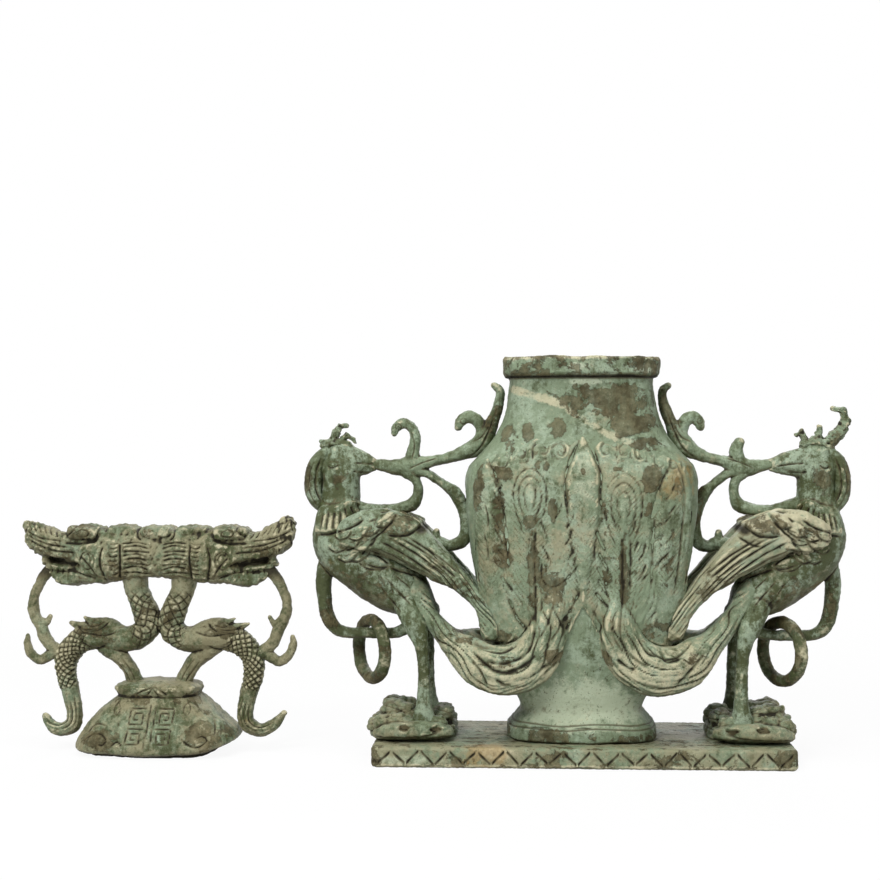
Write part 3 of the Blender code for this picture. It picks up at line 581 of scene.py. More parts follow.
class Finish:
    """A material under the builder's hands."""

    def __init__(self, name):
        self.material = bpy.data.materials.new(name)
        self.material.use_nodes = True
        self.tree = self.material.node_tree
        self.tree.nodes.clear()
        self.spot = self.node("ShaderNodeTexCoord", out="Object")

    @classmethod
    def of(cls, tree):
        """The same hands for another tree of nodes."""
        made = cls.__new__(cls)
        made.tree = tree
        tree.nodes.clear()
        return made

    def node(self, kind, settings=None, sockets=None, out=0):
        """One node of a kind, with its settings, then the values or links of its sockets."""
        made = self.tree.nodes.new(kind)
        for key, value in (settings or {}).items():
            setattr(made, key, value)
        for key, value in (sockets or {}).items():
            if isinstance(value, Shade):
                self.tree.links.new(value.socket, made.inputs[key])
            else:
                made.inputs[key].default_value = value
        return Shade(self, made.outputs[out]) if made.outputs else made

    def noise(self, scale, seed, detail, rough, swirl=0.0, tall=1.0):
        """Clouds of the given scale, per metre, swirled or drawn out upwards."""
        spot = self.spot
        if tall != 1.0:
            spot = self.node("ShaderNodeMapping", None, {"Vector": spot, "Scale": (1.0, 1.0, 1.0 / tall)})
        sockets = {"Vector": spot, "W": seed, "Scale": scale, "Detail": detail}
        sockets |= {"Roughness": rough, "Distortion": swirl}
        return self.node("ShaderNodeTexNoise", {"noise_dimensions": "4D"}, sockets)

    def step(self, value, low, high):
        """A value turned into a mask that goes from 0 at low to 1 at high."""
        settings = {"interpolation_type": "SMOOTHSTEP"}
        return self.node("ShaderNodeMapRange", settings, {"Value": value, "From Min": low, "From Max": high})

    def mix(self, mask, first, second):
        """One colour laid over another through a mask."""
        first, second = ((*c, 1.0) if isinstance(c, tuple) else c for c in (first, second))
        return self.node("ShaderNodeMix", {"data_type": "RGBA"}, {0: mask, 6: first, 7: second}, out=2)

    def close(self, base, roughness, height):
        """The shader itself, with its bump."""
        bump = self.node("ShaderNodeBump", None, {"Strength": 0.85, "Distance": BUMP_DEPTH, "Height": height})
        sockets = {"Base Color": base, "Roughness": roughness, "Normal": bump, "Specular IOR Level": 0.2}
        shader = self.node("ShaderNodeBsdfPrincipled", None, sockets)
        self.node("ShaderNodeOutputMaterial", None, {"Surface": shader})
        return self.material


BUMP_DEPTH = 0.0026


def jade_finish(name, deep, pale, sand, crust, cream, seed, rusty=None):
    """Weathered jade: clouded grey green, sandy drifts, cream ridges with some painted highlight, brown crust, and dirt
    in the cuts with painted shade in recesses and on downward faces.
    """
    tints = bpy.context.scene.jade_colours
    made = Finish(name)

    def lay(mask, tint):
        return made.mix(mask, base, tuple(getattr(tints, tint)))

    carving = made.node("ShaderNodeAttribute", {"attribute_name": "carving"}, None, "Color")
    bloom = made.node("ShaderNodeAttribute", {"attribute_name": "carving"}, None, "Alpha")
    # The first channel of the carving attribute carries dirt in the cuts and painted shade in recesses and on downward
    # faces
    cut = made.node("ShaderNodeSeparateColor", None, {0: carving}, 0)
    worn = made.node("ShaderNodeSeparateColor", None, {0: carving}, 1)
    brown = made.node("ShaderNodeSeparateColor", None, {0: carving}, 2)

    broad = made.noise(21.0, seed, 6.0, 0.6)
    middle = made.noise(72.0, seed + 1, 9.0, 0.7)
    fine = made.noise(240.0, seed + 2, 7.0, 0.72)
    grit = made.noise(850.0, seed + 3, 3.0, 0.6)
    scratch = made.noise(170.0, seed + 8, 6.0, 0.65, tall=9.0)

    tone = broad * 0.26 + middle * 0.28 + fine * 0.26 + scratch * 0.2
    base = made.mix(made.step(tone, 0.34 + 0.2 * deep, 0.45 + 0.2 * deep), tuple(tints.olive), tuple(tints.jade))
    cloudy = made.noise(46.0, seed + 4, 9.0, 0.75) * 0.6 + fine * 0.25 + scratch * 0.15
    base = lay(made.step(cloudy, 0.58 - 0.12 * pale, 0.66 - 0.12 * pale) * 0.72, "light")
    sandy = made.noise(33.0, seed + 7, 9.0, 0.72) * 0.65 + fine * 0.35
    base = lay(made.step(sandy, 0.6 - 0.16 * sand, 0.71 - 0.16 * sand) * 0.7, "sand")
    waxy = made.step(bloom * 0.7 + (middle - 0.5) * 1.3 + (fine - 0.5) * 0.8, 0.3, 0.62)
    base = lay(waxy * 0.75, "wax")
    # The worn channel carries wear and, on ridges and beside cuts, painted highlight; it lays the cream
    ridge = worn * 0.8 + (middle - 0.5) * 1.2 + (fine - 0.5) * 0.9
    ridge = made.step(ridge, 0.62 - 0.3 * cream, 1.0 - 0.3 * cream)
    base = lay(ridge * 0.78, "cream")

    lobes = made.noise(88.0, seed + 5, 9.0, 0.7, swirl=0.5)
    stained = brown * 0.75 + (lobes - 0.5) * 2.5 + (broad - 0.5) * 1.1 + (fine - 0.5) * 0.5
    stained = made.step(stained, 0.51 - 0.24 * crust, 0.61 - 0.24 * crust)
    earth = made.mix(made.step(middle * 0.55 + fine * 0.45, 0.42, 0.6), tuple(tints.crust), tuple(tints.umber))
    thin = made.step(middle * 0.5 + scratch * 0.3 + broad * 0.2, 0.4, 0.6)
    base = made.mix(stained * (0.95 - thin * 0.28), base, earth)
    rust = made.noise(30.0, seed + 6, 9.0, 0.74)
    if rusty:
        away = made.node("ShaderNodeVectorMath", {"operation": "DISTANCE"}, {0: made.spot, 1: rusty}, "Value")
        rust = rust + 0.24 - made.step(away, 0.004, 0.03) * 0.24
    rust = made.step(rust, 0.62, 0.72)
    base = lay(rust * 0.5, "rust")
    specks = made.step(grit * 0.5 + fine * 0.35 + scratch * 0.2, 0.57, 0.64)
    base = lay(specks * 0.7, "olive")
    flecks = made.step(made.noise(520.0, seed + 9, 4.0, 0.65) * 0.5 + middle * 0.3 + scratch * 0.2, 0.55, 0.61)
    base = lay(flecks * 0.7 * cream, "cream")
    # Brown earth and the near-black dirt colour laid through the first channel: dirt in the cuts, and painted shade in
    # recesses and on downward faces
    dust_and_shade = cut + (fine - 0.5) * 0.8 + (middle - 0.5) * 0.5
    base = made.mix(made.step(dust_and_shade, 0.06, 0.42) * 0.7, base, earth)
    soil_and_shade = made.step(dust_and_shade, 0.3, 0.85)
    base = lay(soil_and_shade * 0.92, "crevice_and_shade")

    roughness = 0.44 + stained * 0.16 + ridge * 0.12 + fine * 0.12 + soil_and_shade * 0.2
    height = middle * 0.5 + fine * 0.5 + grit * 0.16 + scratch * 0.3 + stained * 0.25
    return made.close(base, roughness, height)


PLINTH_RUST = (-0.064, -0.057, 0.009)
SHOULDER_RUST = (0.06, -0.036, 0.19)
# How much olive, pale cloud, sand, crust and cream a finish has, its seed, and the middle of an ochre patch
FINISHES = {
    "plinth_jade": (0.33, 0.55, 1.12, 0.4, 0.36, 1.0, PLINTH_RUST),
    "vase_jade": (0.3, 0.75, 0.35, 0.3, 0.3, 2.0, SHOULDER_RUST),
    "plume_jade": (0.3, 0.82, 0.72, 0.34, 0.58, 3.0, SHOULDER_RUST),
    "bird_jade": (0.7, 0.75, 0.35, 0.48, 0.3, 4.0),
    "feather_jade": (0.46, 0.75, 0.4, 0.42, 0.42, 5.0),
    "pale_feather": (0.12, 1.15, 1.2, 0.27, 0.72, 11.0),
    "rock_jade": (0.42, 0.5, 0.88, 0.47, 0.55, 6.0),
    "spray_jade": (0.55, 0.6, 0.35, 0.35, 0.3, 7.0),
    "ring_jade": (0.8, 0.2, 0.6, 0.85, 0.2, 8.0),
    "cover_jade": (0.66, 0.36, 1.0, 0.53, 0.4, 9.0),
    "dragon_jade": (0.62, 0.3, 1.0, 0.58, 0.36, 10.0),
}


def finish_named(name):
    """A finish by its name, made once."""
    return bpy.data.materials.get(name + "_skin") or jade_finish(name + "_skin", *FINISHES[name])


# Tables for the carving: cuts are (half-width, depth, points), outlines and spines are points

FACE_CUTS = (
    (1.3, 1.6, [(-2, 221), (-6.5, 210), (-11, 198), (-12, 188), (-10, 170)]),
    (1.1, 1.2, [(-32, 166), (-32.5, 140), (-32, 112), (-32, 95)]),
    (0.9, 1.0, [(-28, 140), (-27, 125), (-18, 121), (-5, 132)]),
    (0.8, 0.8, [(-3, 136), (-10, 126)]),
    (1.3, 1.4, [(-68, 206), (-61, 200), (-56, 183), (-53, 167), (-51, 150), (-50, 128)]),
    (1.4, 1.7, [(-73.5, 83), (-63, 80), (-49.5, 81), (-44.5, 85)]),
    (1.6, 2.2, [(-73, 76), (-61, 66), (-51.5, 64), (-41, 68), (-31, 75.5)]),
    (1.3, 1.8, [(-67.5, 73), (-59, 70.5), (-49.5, 71), (-37.5, 77.5), (-32, 94.5)]),
    (1.1, 1.3, [(-75, 72), (-68.5, 63.5), (-64.5, 54)]),
    (1.1, 1.3, [(-59, 59), (-53.5, 55.5), (-48, 55)]),
    (1.4, 1.8, [(-50.5, 113), (-45, 99), (-38.5, 92.5)]),
    (1.0, 1.0, [(-56, 127), (-47, 117)]),
    (1.5, 1.8, [(4, 98), (-9.5, 81), (-20.5, 70), (-29, 65.5)]),
    (1.0, 1.2, [(-1, 119), (-8, 106), (-15, 94.5), (-24, 82)]),
    (0.9, 1.4, [(-9.5, 101), (-14, 94.5)]),
    (0.9, 1.4, [(-7, 101), (-11, 91)]),
    (1.1, 1.3, [(-3, 77.5), (-16, 70), (-26, 62)]),
    (1.5, 1.8, [(4, 221), (7.5, 211), (12, 196), (11, 183), (13, 172)]),
    (1.2, 1.9, [(8.5, 158.5), (15, 144.5)]),
    (1.1, 1.8, [(10.5, 143.5), (18, 129.5)]),
    (1.1, 1.8, [(9.5, 135), (17, 121)]),
    (1.0, 1.6, [(9.5, 127), (17, 114)]),
    (1.0, 1.6, [(7.5, 118), (16, 107.5)]),
    (1.3, 1.9, [(53.5, 183), (45.5, 166)]),
    (1.1, 1.7, [(54.5, 155.5), (45, 150)]),
    (1.0, 1.3, [(53.5, 164), (46, 158.5)]),
    (1.0, 1.0, [(60, 146), (38.5, 124)]),
    (1.0, 1.1, [(26, 156), (27, 130), (26.5, 112), (24.5, 90), (31, 76.5), (46, 66)]),
    (0.9, 1.0, [(31, 156), (32, 140), (31, 118)]),
    (1.2, 1.3, [(62, 207), (54, 194), (50, 180), (47, 150), (46, 120)]),
    (1.1, 1.2, [(62, 207), (68, 192), (69, 178), (66, 146), (62, 115)]),
    (1.5, 1.9, [(4, 98), (8.5, 78.5), (15, 69), (23.5, 59), (31, 56)]),
    (1.3, 1.7, [(8.5, 102), (12, 83), (16.5, 70)]),
    (1.2, 1.6, [(21.5, 73), (29, 68), (34.5, 66.5)]),
    (1.2, 1.5, [(36.5, 89), (42, 78.5), (49.5, 75.5)]),
    (1.3, 1.6, [(51.5, 79.5), (56, 72), (65.5, 74)]),
    (1.1, 1.3, [(83, 78.5), (70, 63.5), (61, 54)]),
    (1.0, 1.1, [(18, 96), (21, 86), (27, 77)]),
    (0.9, 1.0, [(-20, 110), (-24, 96), (-30, 86)]),
)
FACE_EDGE = (
    (-77, 60), (-70, 96), (-73, 140), (-76, 168), (-76, 186), (-72.5, 198), (-68, 207), (-61, 207), (-57, 211.5),
    (-50, 209), (-45, 216), (-38, 213.5), (-31, 219), (-24, 215.5), (-16, 219), (-9, 217), (0, 224), (8, 217),
    (15, 219), (22, 215.5), (29, 218.5), (36, 213.5), (43, 215), (49, 208.5), (56, 210.5), (60, 206.5), (67, 207),
    (72.5, 198), (76, 186), (76, 168), (73, 140), (70, 96), (77, 60),
)
SPEAR = (
    (0, 222), (-5, 210), (-9.5, 198), (-11, 186), (-9, 168), (-6, 150), (-3, 128), (0, 110), (3.5, 128), (7, 150),
    (10, 170), (11.5, 186), (10, 198), (5.5, 211),
)
CURLS = (
    (-55.8, 205, 6.0, 1), (-43, 210.5, 5.2, 1), (-28, 213, 5.2, 1), (-16, 212, 4.6, 1), (17, 213, 5.2, -1),
    (29, 212, 5.0, -1), (40, 210, 5.4, -1), (53, 205, 5.6, -1), (62, 203, 4.2, -1),
)
CURL = ((-1.1, -1), (-1, 0.4), (0, 1), (0.9, 0.3), (0.6, -0.6), (-0.1, -0.5), (0, 0.2))
HALF_EYE = ((-0.2, -1.7), (-0.8, -0.8), (-1, 0), (-0.75, 0.65))
EYE = (*HALF_EYE, (0, 1), *((-a, b) for a, b in reversed(HALF_EYE)))
EYE_PLUMES = (
    (-35.5, 183, ((3.6, 7.0), (7.4, 12.0), (11.0, 17.0))),
    (27.0, 177, ((4.2, 7.5), (8.3, 13.5), (12.4, 20.0))),
)
VANES = ((-64, 10), (-35.5, 15), (0, 13), (27, 15), (58, 11))
BARBS = (
    ((-63, 198), (-58.5, 187)),
    ((-61, 185), (-55, 174)),
    ((-63, 172), (-56, 158)),
    ((-60, 160), (-54, 149)),
    ((-58, 146), (-50, 136)),
    ((-55, 127), (-47, 117)),
    ((-66, 176), (-64, 160)),
    ((-67, 156), (-64, 138)),
    ((-6, 171), (-11, 160)),
    ((-7, 160), (-12.5, 148)),
    ((-5, 148), (-11, 138)),
    ((-14, 178), (-19, 166)),
    ((-45, 170), (-41, 158)),
    ((-29, 166), (-24, 152)),
    ((-28, 150), (-23, 138)),
    ((20, 168), (25, 158)),
    ((35, 166), (31, 154)),
    ((37, 152), (31, 141)),
    ((62, 190), (55, 178)),
    ((63, 176), (52, 165)),
    ((60, 170), (50, 160)),
    ((62, 158), (51, 147)),
    ((64, 144), (52, 132)),
    ((62, 132), (52, 121)),
    ((42, 150), (37, 138)),
    ((42, 136), (36, 124)),
)
TAIL_SPINE = (
    (118, 117), (102, 100.5), (87, 84), (71, 69), (53, 65), (37, 73), (28, 93), (29, 122), (34, 160), (37, 205),
)
TAIL_WIDTHS = (8.5, 9.5, 11.5, 15, 17, 18, 20, 26, 34, 38)

BIRD_CUTS = (
    (1.5, 1.9, [(181, 154.3), (173.5, 154.7), (163.5, 157.5), (156, 160.7), (149, 165)]),
    (1.2, 1.5, [(138.5, 170.5), (126, 171.5), (113, 173)]),
    (1.2, 1.6, [(146, 149), (138, 155), (128, 164.3)]),
    (1.5, 2.0, [(133.5, 154.3), (120.5, 154.3), (113, 158), (109.5, 161)]),
    (1.2, 1.5, [(151.5, 140), (146, 146), (140.5, 153)]),
    (1.3, 1.7, [(151.5, 135.5), (140.5, 131.8), (132, 132.5)]),
    (1.3, 1.6, [(146, 143), (139, 139), (132.4, 133.7)]),
    (1.2, 1.5, [(143.5, 145.6), (122.5, 134.6), (104, 121)]),
    (1.2, 1.5, [(138, 150), (118.7, 139), (96, 122)]),
    (1.2, 1.5, [(132.4, 153), (111.4, 140), (90.4, 125.4)]),
    (1.2, 1.5, [(126, 153.8), (107, 142.8), (86, 126)]),
    (1.2, 1.5, [(119.6, 153.8), (102.3, 142.8), (82, 128)]),
    (1.6, 2.2, [(131.5, 131.8), (113, 125.4), (104, 118), (96, 110)]),
    (0.9, 0.9, [(128, 126.4), (120.5, 120), (109.6, 110)]),
    (0.9, 0.9, [(134, 124), (127, 116), (117, 106)]),
    (0.8, 0.8, [(140, 122), (134, 112), (124, 101)]),
)
COVERTS = (
    (160.5, 140.0, 8.5, 4.2, -16), (167.0, 146.5, 8.0, 4.2, -8), (152.0, 141.5, 9.5, 4.6, -28),
    (159.0, 149.0, 9.0, 4.6, -18), (148.0, 149.5, 9.0, 4.4, -32), (164.0, 155.0, 7.5, 3.8, -12),
    (152.5, 156.0, 8.5, 4.2, -24), (143.0, 159.0, 8.5, 4.0, -32), (142.0, 134.5, 12.0, 4.2, 8),
    (134.0, 164.0, 8.0, 3.6, -28),
)
RUFF = ((184, 154.5), (173, 155), (163, 158), (152, 164), (151, 172), (160, 178), (170, 174), (183, 171))
RUFF_SLOTS = (
    ((178.5, 167), (180, 156.5)),
    ((175, 168.5), (176, 156.3)),
    ((171, 169.5), (171.5, 157.3)),
    ((167.5, 170.5), (167, 158.5)),
    ((164.5, 172), (162, 160.5)),
    ((161, 173.5), (157, 163)),
    ((157.5, 175.5), (152.5, 166)),
)
HEAD_CUTS = (
    (0.8, 0.9, [(177, 201.5), (173.5, 199.9), (168.4, 202)]),
    (0.6, 0.5, [(176.5, 203.5), (172.5, 204.6), (168.4, 204)]),
    (0.8, 1.2, [(157.5, 203.2), (150, 203), (143.5, 202), (138, 201)]),
    (0.7, 0.7, [(159, 197.5), (152, 196.5), (145, 196.5)]),
)
LOCK_CUTS = (
    (1.3, 1.6, [(181, 207), (184.5, 196), (184.8, 186), (181, 177), (177, 171)]),
    (0.8, 0.9, [(187, 204), (190, 194), (190, 184), (184.5, 173)]),
)

HEAD_MANE = (147.4, 144.6, 142, 138.8, 136, 132.8, 129.6, 126.4)
DRAGON_HEAD_CUTS = (
    (3.4, 4.0, [(80, 135.5), (66, 132.5), (52, 131)]),
    (1.2, 1.4, [(92, 149), (74, 142), (55, 140)]),
    (1.0, 1.2, [(94, 152.5), (78, 146.5), (62, 144)]),
    (0.9, 1.0, [(95, 156), (82, 150.5), (66, 148.5)]),
    (1.5, 1.9, [(64, 147), (50, 147), (40, 150)]),
    (1.3, 1.6, [(25, 147), (24.5, 134), (25.5, 121)]),
    (1.1, 1.4, [(36.5, 146), (39, 134), (36, 122)]),
    (1.0, 1.2, [(52, 138), (45, 130), (40, 122)]),
    (0.9, 1.0, [(62, 127.5), (52, 125.5), (44, 122)]),
    (1.2, 1.4, [(39, 160), (40.5, 152), (43, 148)]),
    (1.2, 1.4, [(63, 152), (58, 156), (57, 160)]),
    (1.2, 1.6, [(12, 160), (13, 153), (10, 149)]),
)
BODY_SPINE = (
    (15, 124), (15, 107), (10.5, 96), (8, 86), (16, 79), (28, 78), (43, 81), (57, 76), (66, 67), (67, 55), (64, 42),
    (61, 29), (62.5, 19.5), (71, 15), (80, 18), (86, 25),
)
BODY_WIDTHS = (10, 9, 10, 10, 10, 10, 11.5, 9.5, 9, 7.6, 6.8, 6.4, 6.2, 5.6, 5, 4)

# Limbs, as stations of (u, z, radius), (u, z, radius, half-depth) or (u, z, radius, y, half-depth). On a phoenix u is
# counted from the vase's side and z from the plinth's top, on a dragon u from the cover's middle and z from the ground.

TORSO = (
    (89.5, 156, 12, 13), (88.5, 146, 16, 19), (84.5, 131, 19, 23), (67.5, 119, 22.5, 26),
    (46.5, 103, 20.5, 25), (33.5, 92, 14, 19), (26, 86, 8, 12),
)
NECK = (
    (87.5, 138, 14, 16), (85.5, 158, 14, 14), (84.5, 172, 13, 12.5), (84.5, 185, 13.5, 12.5),
    (84.5, 194, 11.5, 11),
)
SHANK = (
    (40.5, 92, 9, 17, 8), (33.5, 77, 7.6, 24, 7.6), (29.5, 66, 5.4, 26, 5.4), (28, 52, 4.3, 26, 4.4),
    (27.5, 36, 4.3, 26, 4.4), (27.5, 24, 5.6, 26, 5.8), (27.5, 12, 9, 26, 9),
)
BAR = (
    (94.5, 122, 6, 6), (96.5, 106, 5.6, 5.6), (95, 86, 5.2, 5.2), (89.5, 74, 4.8, 4.8),
    (80.5, 70, 4.2, 4.2), (69.5, 70, 4.0, 4.0), (53.5, 70, 4.0, 4.0), (43.5, 72, 4.3, 4.3),
    (33.5, 82, 5.4, 5.4),
)
LOCK = (
    (94, 198, 4.2, 6.5), (101.3, 188, 5.8, 8.5), (103.2, 176, 6.4, 9), (101.8, 165, 5.8, 8.5),
    (94.5, 155, 3.6, 6.5),
)
STEM = (
    (77.5, 189.5, 2.2, 2.2), (63.5, 188.3, 3.6, 3.8), (49.5, 186.5, 5.6, 5.0), (37.5, 187, 7.2, 6.0),
    (26.5, 190, 4.6, 5.0), (14.5, 192.5, 3.7, 5.0), (2.5, 196, 4.8, 6.0), (-10.5, 203, 7.0, 7.0),
    (-18, 217, 4.8, 6.0), (-23, 230, 3.6, 5.0), (-24, 239, 3.1, 4.5), (-20, 243.5, 2.4, 3.5),
)
SCROLLS = {
    "left": (
        (37.5, 189, 6, 5.5), (36.5, 199, 4.2, 5), (35.5, 208, 3.6, 4.6), (38.5, 215, 3.6, 4.4),
        (44.5, 217, 3.8, 4.4), (49, 213.5, 3.4, 3.8), (50, 210, 2.6, 3.0),
    ),
    "right": ((37.5, 189, 6, 5.5), (35.5, 198, 4.6, 5), (38.5, 204, 3.4, 4)),
}
TWIGS = (
    (
        (-10.5, 203, 5.6, 6), (-11, 212, 4.3, 5), (-8, 219, 4.6, 5), (-1.5, 221.5, 4.4, 4.6),
        (3.5, 218, 3.8, 4), (5, 214.5, 2.9, 3.2),
    ),
    (
        (35.5, 184.5, 4.6, 5), (26.5, 181.5, 3.2, 4.4), (16.5, 175, 3.2, 4.4), (7.5, 168, 4.6, 5),
        (1.5, 157, 4.6, 5), (-0.5, 146, 4.4, 5), (1.5, 135.5, 4.6, 5), (11.5, 131.5, 4.2, 5),
        (20.5, 134, 5.0, 5), (31.5, 131, 6, 5),
    ),
    ((21, 133, 4.5, 4.5), (20.5, 141, 2.6, 3.4)),
    (
        (41.5, 183, 4.6, 4.6), (35, 177, 3.4, 4), (33.5, 169, 3.6, 4.4), (37, 161, 4.6, 5),
        (47.5, 157.5, 4.2, 5), (63.5, 156, 4.2, 5), (79.5, 159, 4.8, 5), (91, 163, 5.0, 5),
    ),
)
SWEEP = (
    (37.5, 103, 8.5, 13, 8), (21.5, 86.5, 9.2, 18, 9), (6.5, 70, 11, 27, 10.5), (-9.5, 54, 14.5, 37, 12.5),
    (-29.5, 49.5, 16.5, 43, 13), (-47.5, 58, 16.5, 44, 11), (-57.5, 78, 13.5, 46, 8), (-62.5, 104, 9, 46, 5),
)
HEAP = (
    (12, 4, 7, 24), (17, 5, 10, 33), (24, 5.5, 11, 37), (34.5, 6, 11, 39), (46, 7, 13, 37),
    (54, 5, 12, 33), (60, 3.5, 7.5, 25),
)
SLAB = (
    (11, 6.5, 3.6, 31, 6), (20, 8, 5.4, 35, 8), (36, 8.2, 6.0, 37, 8.5), (50, 7, 5.4, 35, 8), (58, 5.2, 3.8, 30, 6),
)
KNOBS = (
    (50, 18, 7, 10, 9), (41, 17.5, 6, 14, 8), (15, 14.5, 6.5, 8, 10), (56, 11, 6, 24, 8), (46, 14, 5.5, 26, 7),
    (19, 12, 5, 27, 6), (61, 8, 5, 16, 7),
)
COIL = (
    (18, 125, 9.5), (16.5, 114, 8.2), (12.5, 104, 8.6), (9, 95, 9.2), (8.5, 87, 8.8), (16, 80, 9), (28, 79, 9.2),
    (43, 81.5, 10.5), (57, 77, 8.8), (66, 67, 8.2), (67, 55, 7.2), (64, 42, 6.3), (61, 29, 5.8),
)
TAIL_END = {
    "left": ((61.5, 19, 5.5), (69, 14.2, 5), (77, 16.5, 4.2), (82, 23.5, 2.6)),
    "right": ((62.5, 19.5, 5.5), (72, 15, 4.8), (82, 19.5, 4), (88.5, 27, 2.4)),
}
DRAGON_LIMBS = (
    ((40, 75, 6.5), (29, 66.5, 6), (21, 57, 5.4), (16, 46, 6.4)),
    ((27, 84, 5), (38, 88.5, 5.4), (48, 90.5, 3.2), (53.5, 93.5, 1)),
    ((36, 83, 5), (48, 86, 5), (57, 87.5, 3), (63.5, 90, 1)),
)
STREAM = (
    (
        (66, 131, 4.5), (76, 129, 4.6), (84, 121, 3.8), (90, 108, 3.5), (90, 97, 4), (85, 87, 4.2), (80, 76, 4.4),
        (68, 66, 4.8),
    ),
    ((88, 93, 3.4), (82, 90, 2.6), (78.5, 94.5, 1.5)),
    ((76, 69, 4.4), (85, 63.5, 3.7), (92, 68, 3.2), (95, 75, 2.8), (94.5, 81, 1.6)),
)
SKULLS = {
    "left": ((82, 148, 10.5, 11), (89, 153.5, 8.5, 9), (92.5, 157, 5, 6)),
    "right": ((82, 149, 11, 11), (88.5, 155.5, 9, 9), (91, 160, 5.5, 6)),
}
HEAD_LIMBS = (
    (
        (40, 128, 9.5, 13), (52, 124.5, 7, 12), (62, 122, 5.6, 10), (70, 122.5, 4.4, 8),
        (76, 126, 2.4, 5),
    ),
    ((74, 141, 5, 9), (80, 135.5, 4, 7), (82.5, 132, 1.8, 4)),
    ((50, 133, 7, 9), (64, 132.5, 6.5, 8), (74, 131.5, 5, 6.5), (79, 131, 3, 5)),
    ((42, 153, 5.4, 16), (51, 154, 5.8, 17), (60, 153.5, 5, 15.5)),
    ((-3, 153.5, 4.6, 16), (6, 154.5, 4.6, 16.5), (9, 154, 3, 15)),
    ((16, 155, 3.6, 13), (22, 155.5, 4, 14), (33, 155, 3.6, 13)),
)


# Operators


ZIGZAG_START = -80.5
ZIGZAG_FOOT, ZIGZAG_HEIGHT = 2.6, 9.2
PLINTH_POINTS = 1320


class JADE_OT_plinth(bpy.types.Operator):
    """Makes the plinth with its worn edges and zigzag border"""

    bl_idname = "jade.plinth"
    bl_label = "Plinth"

    def execute(self, context):
        sizes = context.scene.carving_sizes
        low, high = (np.array(corner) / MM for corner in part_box("plinth"))
        half = (high - low) / 2
        rows = [(half[1] - 6, 0.0), (24, 0.0), (4, 0.0), (1.8, 0.12), (0.7, 0.6), (0.15, 1.4)]
        rows += [(0.0, z) for z in np.arange(2.1, half[2] * 2 - 1.6, 0.5)]
        rows += [(0.15, 12.7), (0.7, 13.4), (1.8, 13.85)]
        rows += [(inset, PLINTH_TOP) for inset in (3, 4.5, *np.arange(6, half[1] - 5, 3.0))]
        piece = loft("plinth_skin", np.array([self.ring(half, *row) for row in rows]))
        skin = Skin(piece)
        x, y, z = skin.place.T
        on_end = np.abs(skin.normal[:, 0]) > np.abs(skin.normal[:, 1])
        run = np.where(on_end, y, x - ZIGZAG_START) / (sizes.zigzag_pitch / MM) + 0.5
        tooth = np.abs(2 * (run - np.floor(run)) - 1)
        level = ZIGZAG_FOOT + ZIGZAG_HEIGHT * tooth + 0.5 * np.sin(run * 4.1 + 2 * on_end)
        upright = 1 - smooth_step(np.abs(skin.normal[:, 2]), 0.2, 0.5)
        apart = np.abs(z - level) * 0.72
        ends = smooth_step(tooth, 0.03, 0.1) * (1 - smooth_step(tooth, 0.86, 0.94))
        ends = ends * (0.8 + 0.2 * np.sin(run * 17.0))
        bite = np.clip(1.15 - apart / 1.1, 0, 1) * upright * ends
        skin.bite = bite * sizes.zigzag_depth / MM
        skin.cut = bite * 0.95
        skin.worn = np.exp(-(((apart - 1.7) / 0.7) ** 2)) * 0.45 * upright * ends
        edges = (np.abs(skin.normal[:, 2]) > 0.2) & (np.abs(skin.normal[:, 2]) < 0.95)
        skin.rise = 0.25 * drift(skin.place, 9, 3) * upright - 0.8 * edges * np.clip(drift(skin.place, 6, 4), 0, 1)
        top = skin.normal[:, 2] > 0.5
        skin.crust = np.where(top, 0.34 + 0.2 * np.sin(y * 0.9 + 2 * drift(skin.place * (0.2, 1, 1), 9, 5)), 0.1)
        skin.settle_on("crust", [(-141, 7, 6, 9, 0.9), (135, 8, 16, 8, 0.7), (30, 2, 120, 3, 0.5)])
        skin.settle_on("crust", [(62, 7, 20, 7, 0.6), (-84, 4, 14, 5, 0.6), (-18, 7, 14, 7, 0.6)])
        skin.at_least("worn", 0.55 * top)
        skin.settle_on("worn", [(-57, 10, 17, 6, 0.95), (-100, 13, 30, 3, 0.5), (100, 9, 20, 5, 0.6)])
        skin.settle_on("pale", [(-118, 5, 34, 5, 0.6), (20, 6, 60, 4, 0.35)])
        skin.finish("plinth_jade", "vessel", ["plinth"], hollows=0.35)
        return {"FINISHED"}

    def ring(self, half, inset, z, corner=5.0):
        """Points round the plinth at one height, its upright corners rounded."""
        radius, back = max(corner - inset, 0.5), max(inset, corner)
        marks, spots = [], []
        for index, (sx, sy) in enumerate(((1, 1), (-1, 1), (-1, -1), (1, -1))):
            for lean in np.linspace(0, math.pi / 2, 7) + index * math.pi / 2:
                c, s = math.cos(lean), math.sin(lean)
                spots.append((sx * (half[0] - back) + radius * c, sy * (half[1] - back) + radius * s))
                marks.append((sx * half[0] + 4 * c, sy * half[1] + 4 * s))
        spots, marks = np.array([*spots, spots[0]]), np.array([*marks, marks[0]])
        gone = np.concatenate([[0], np.cumsum(np.hypot(*np.diff(marks, axis=0).T))])
        part = np.linspace(0, gone[-1], PLINTH_POINTS, endpoint=False)
        x, y = (np.interp(part, gone, row) for row in spots.T)
        return np.column_stack([x, y, np.full_like(x, z)])


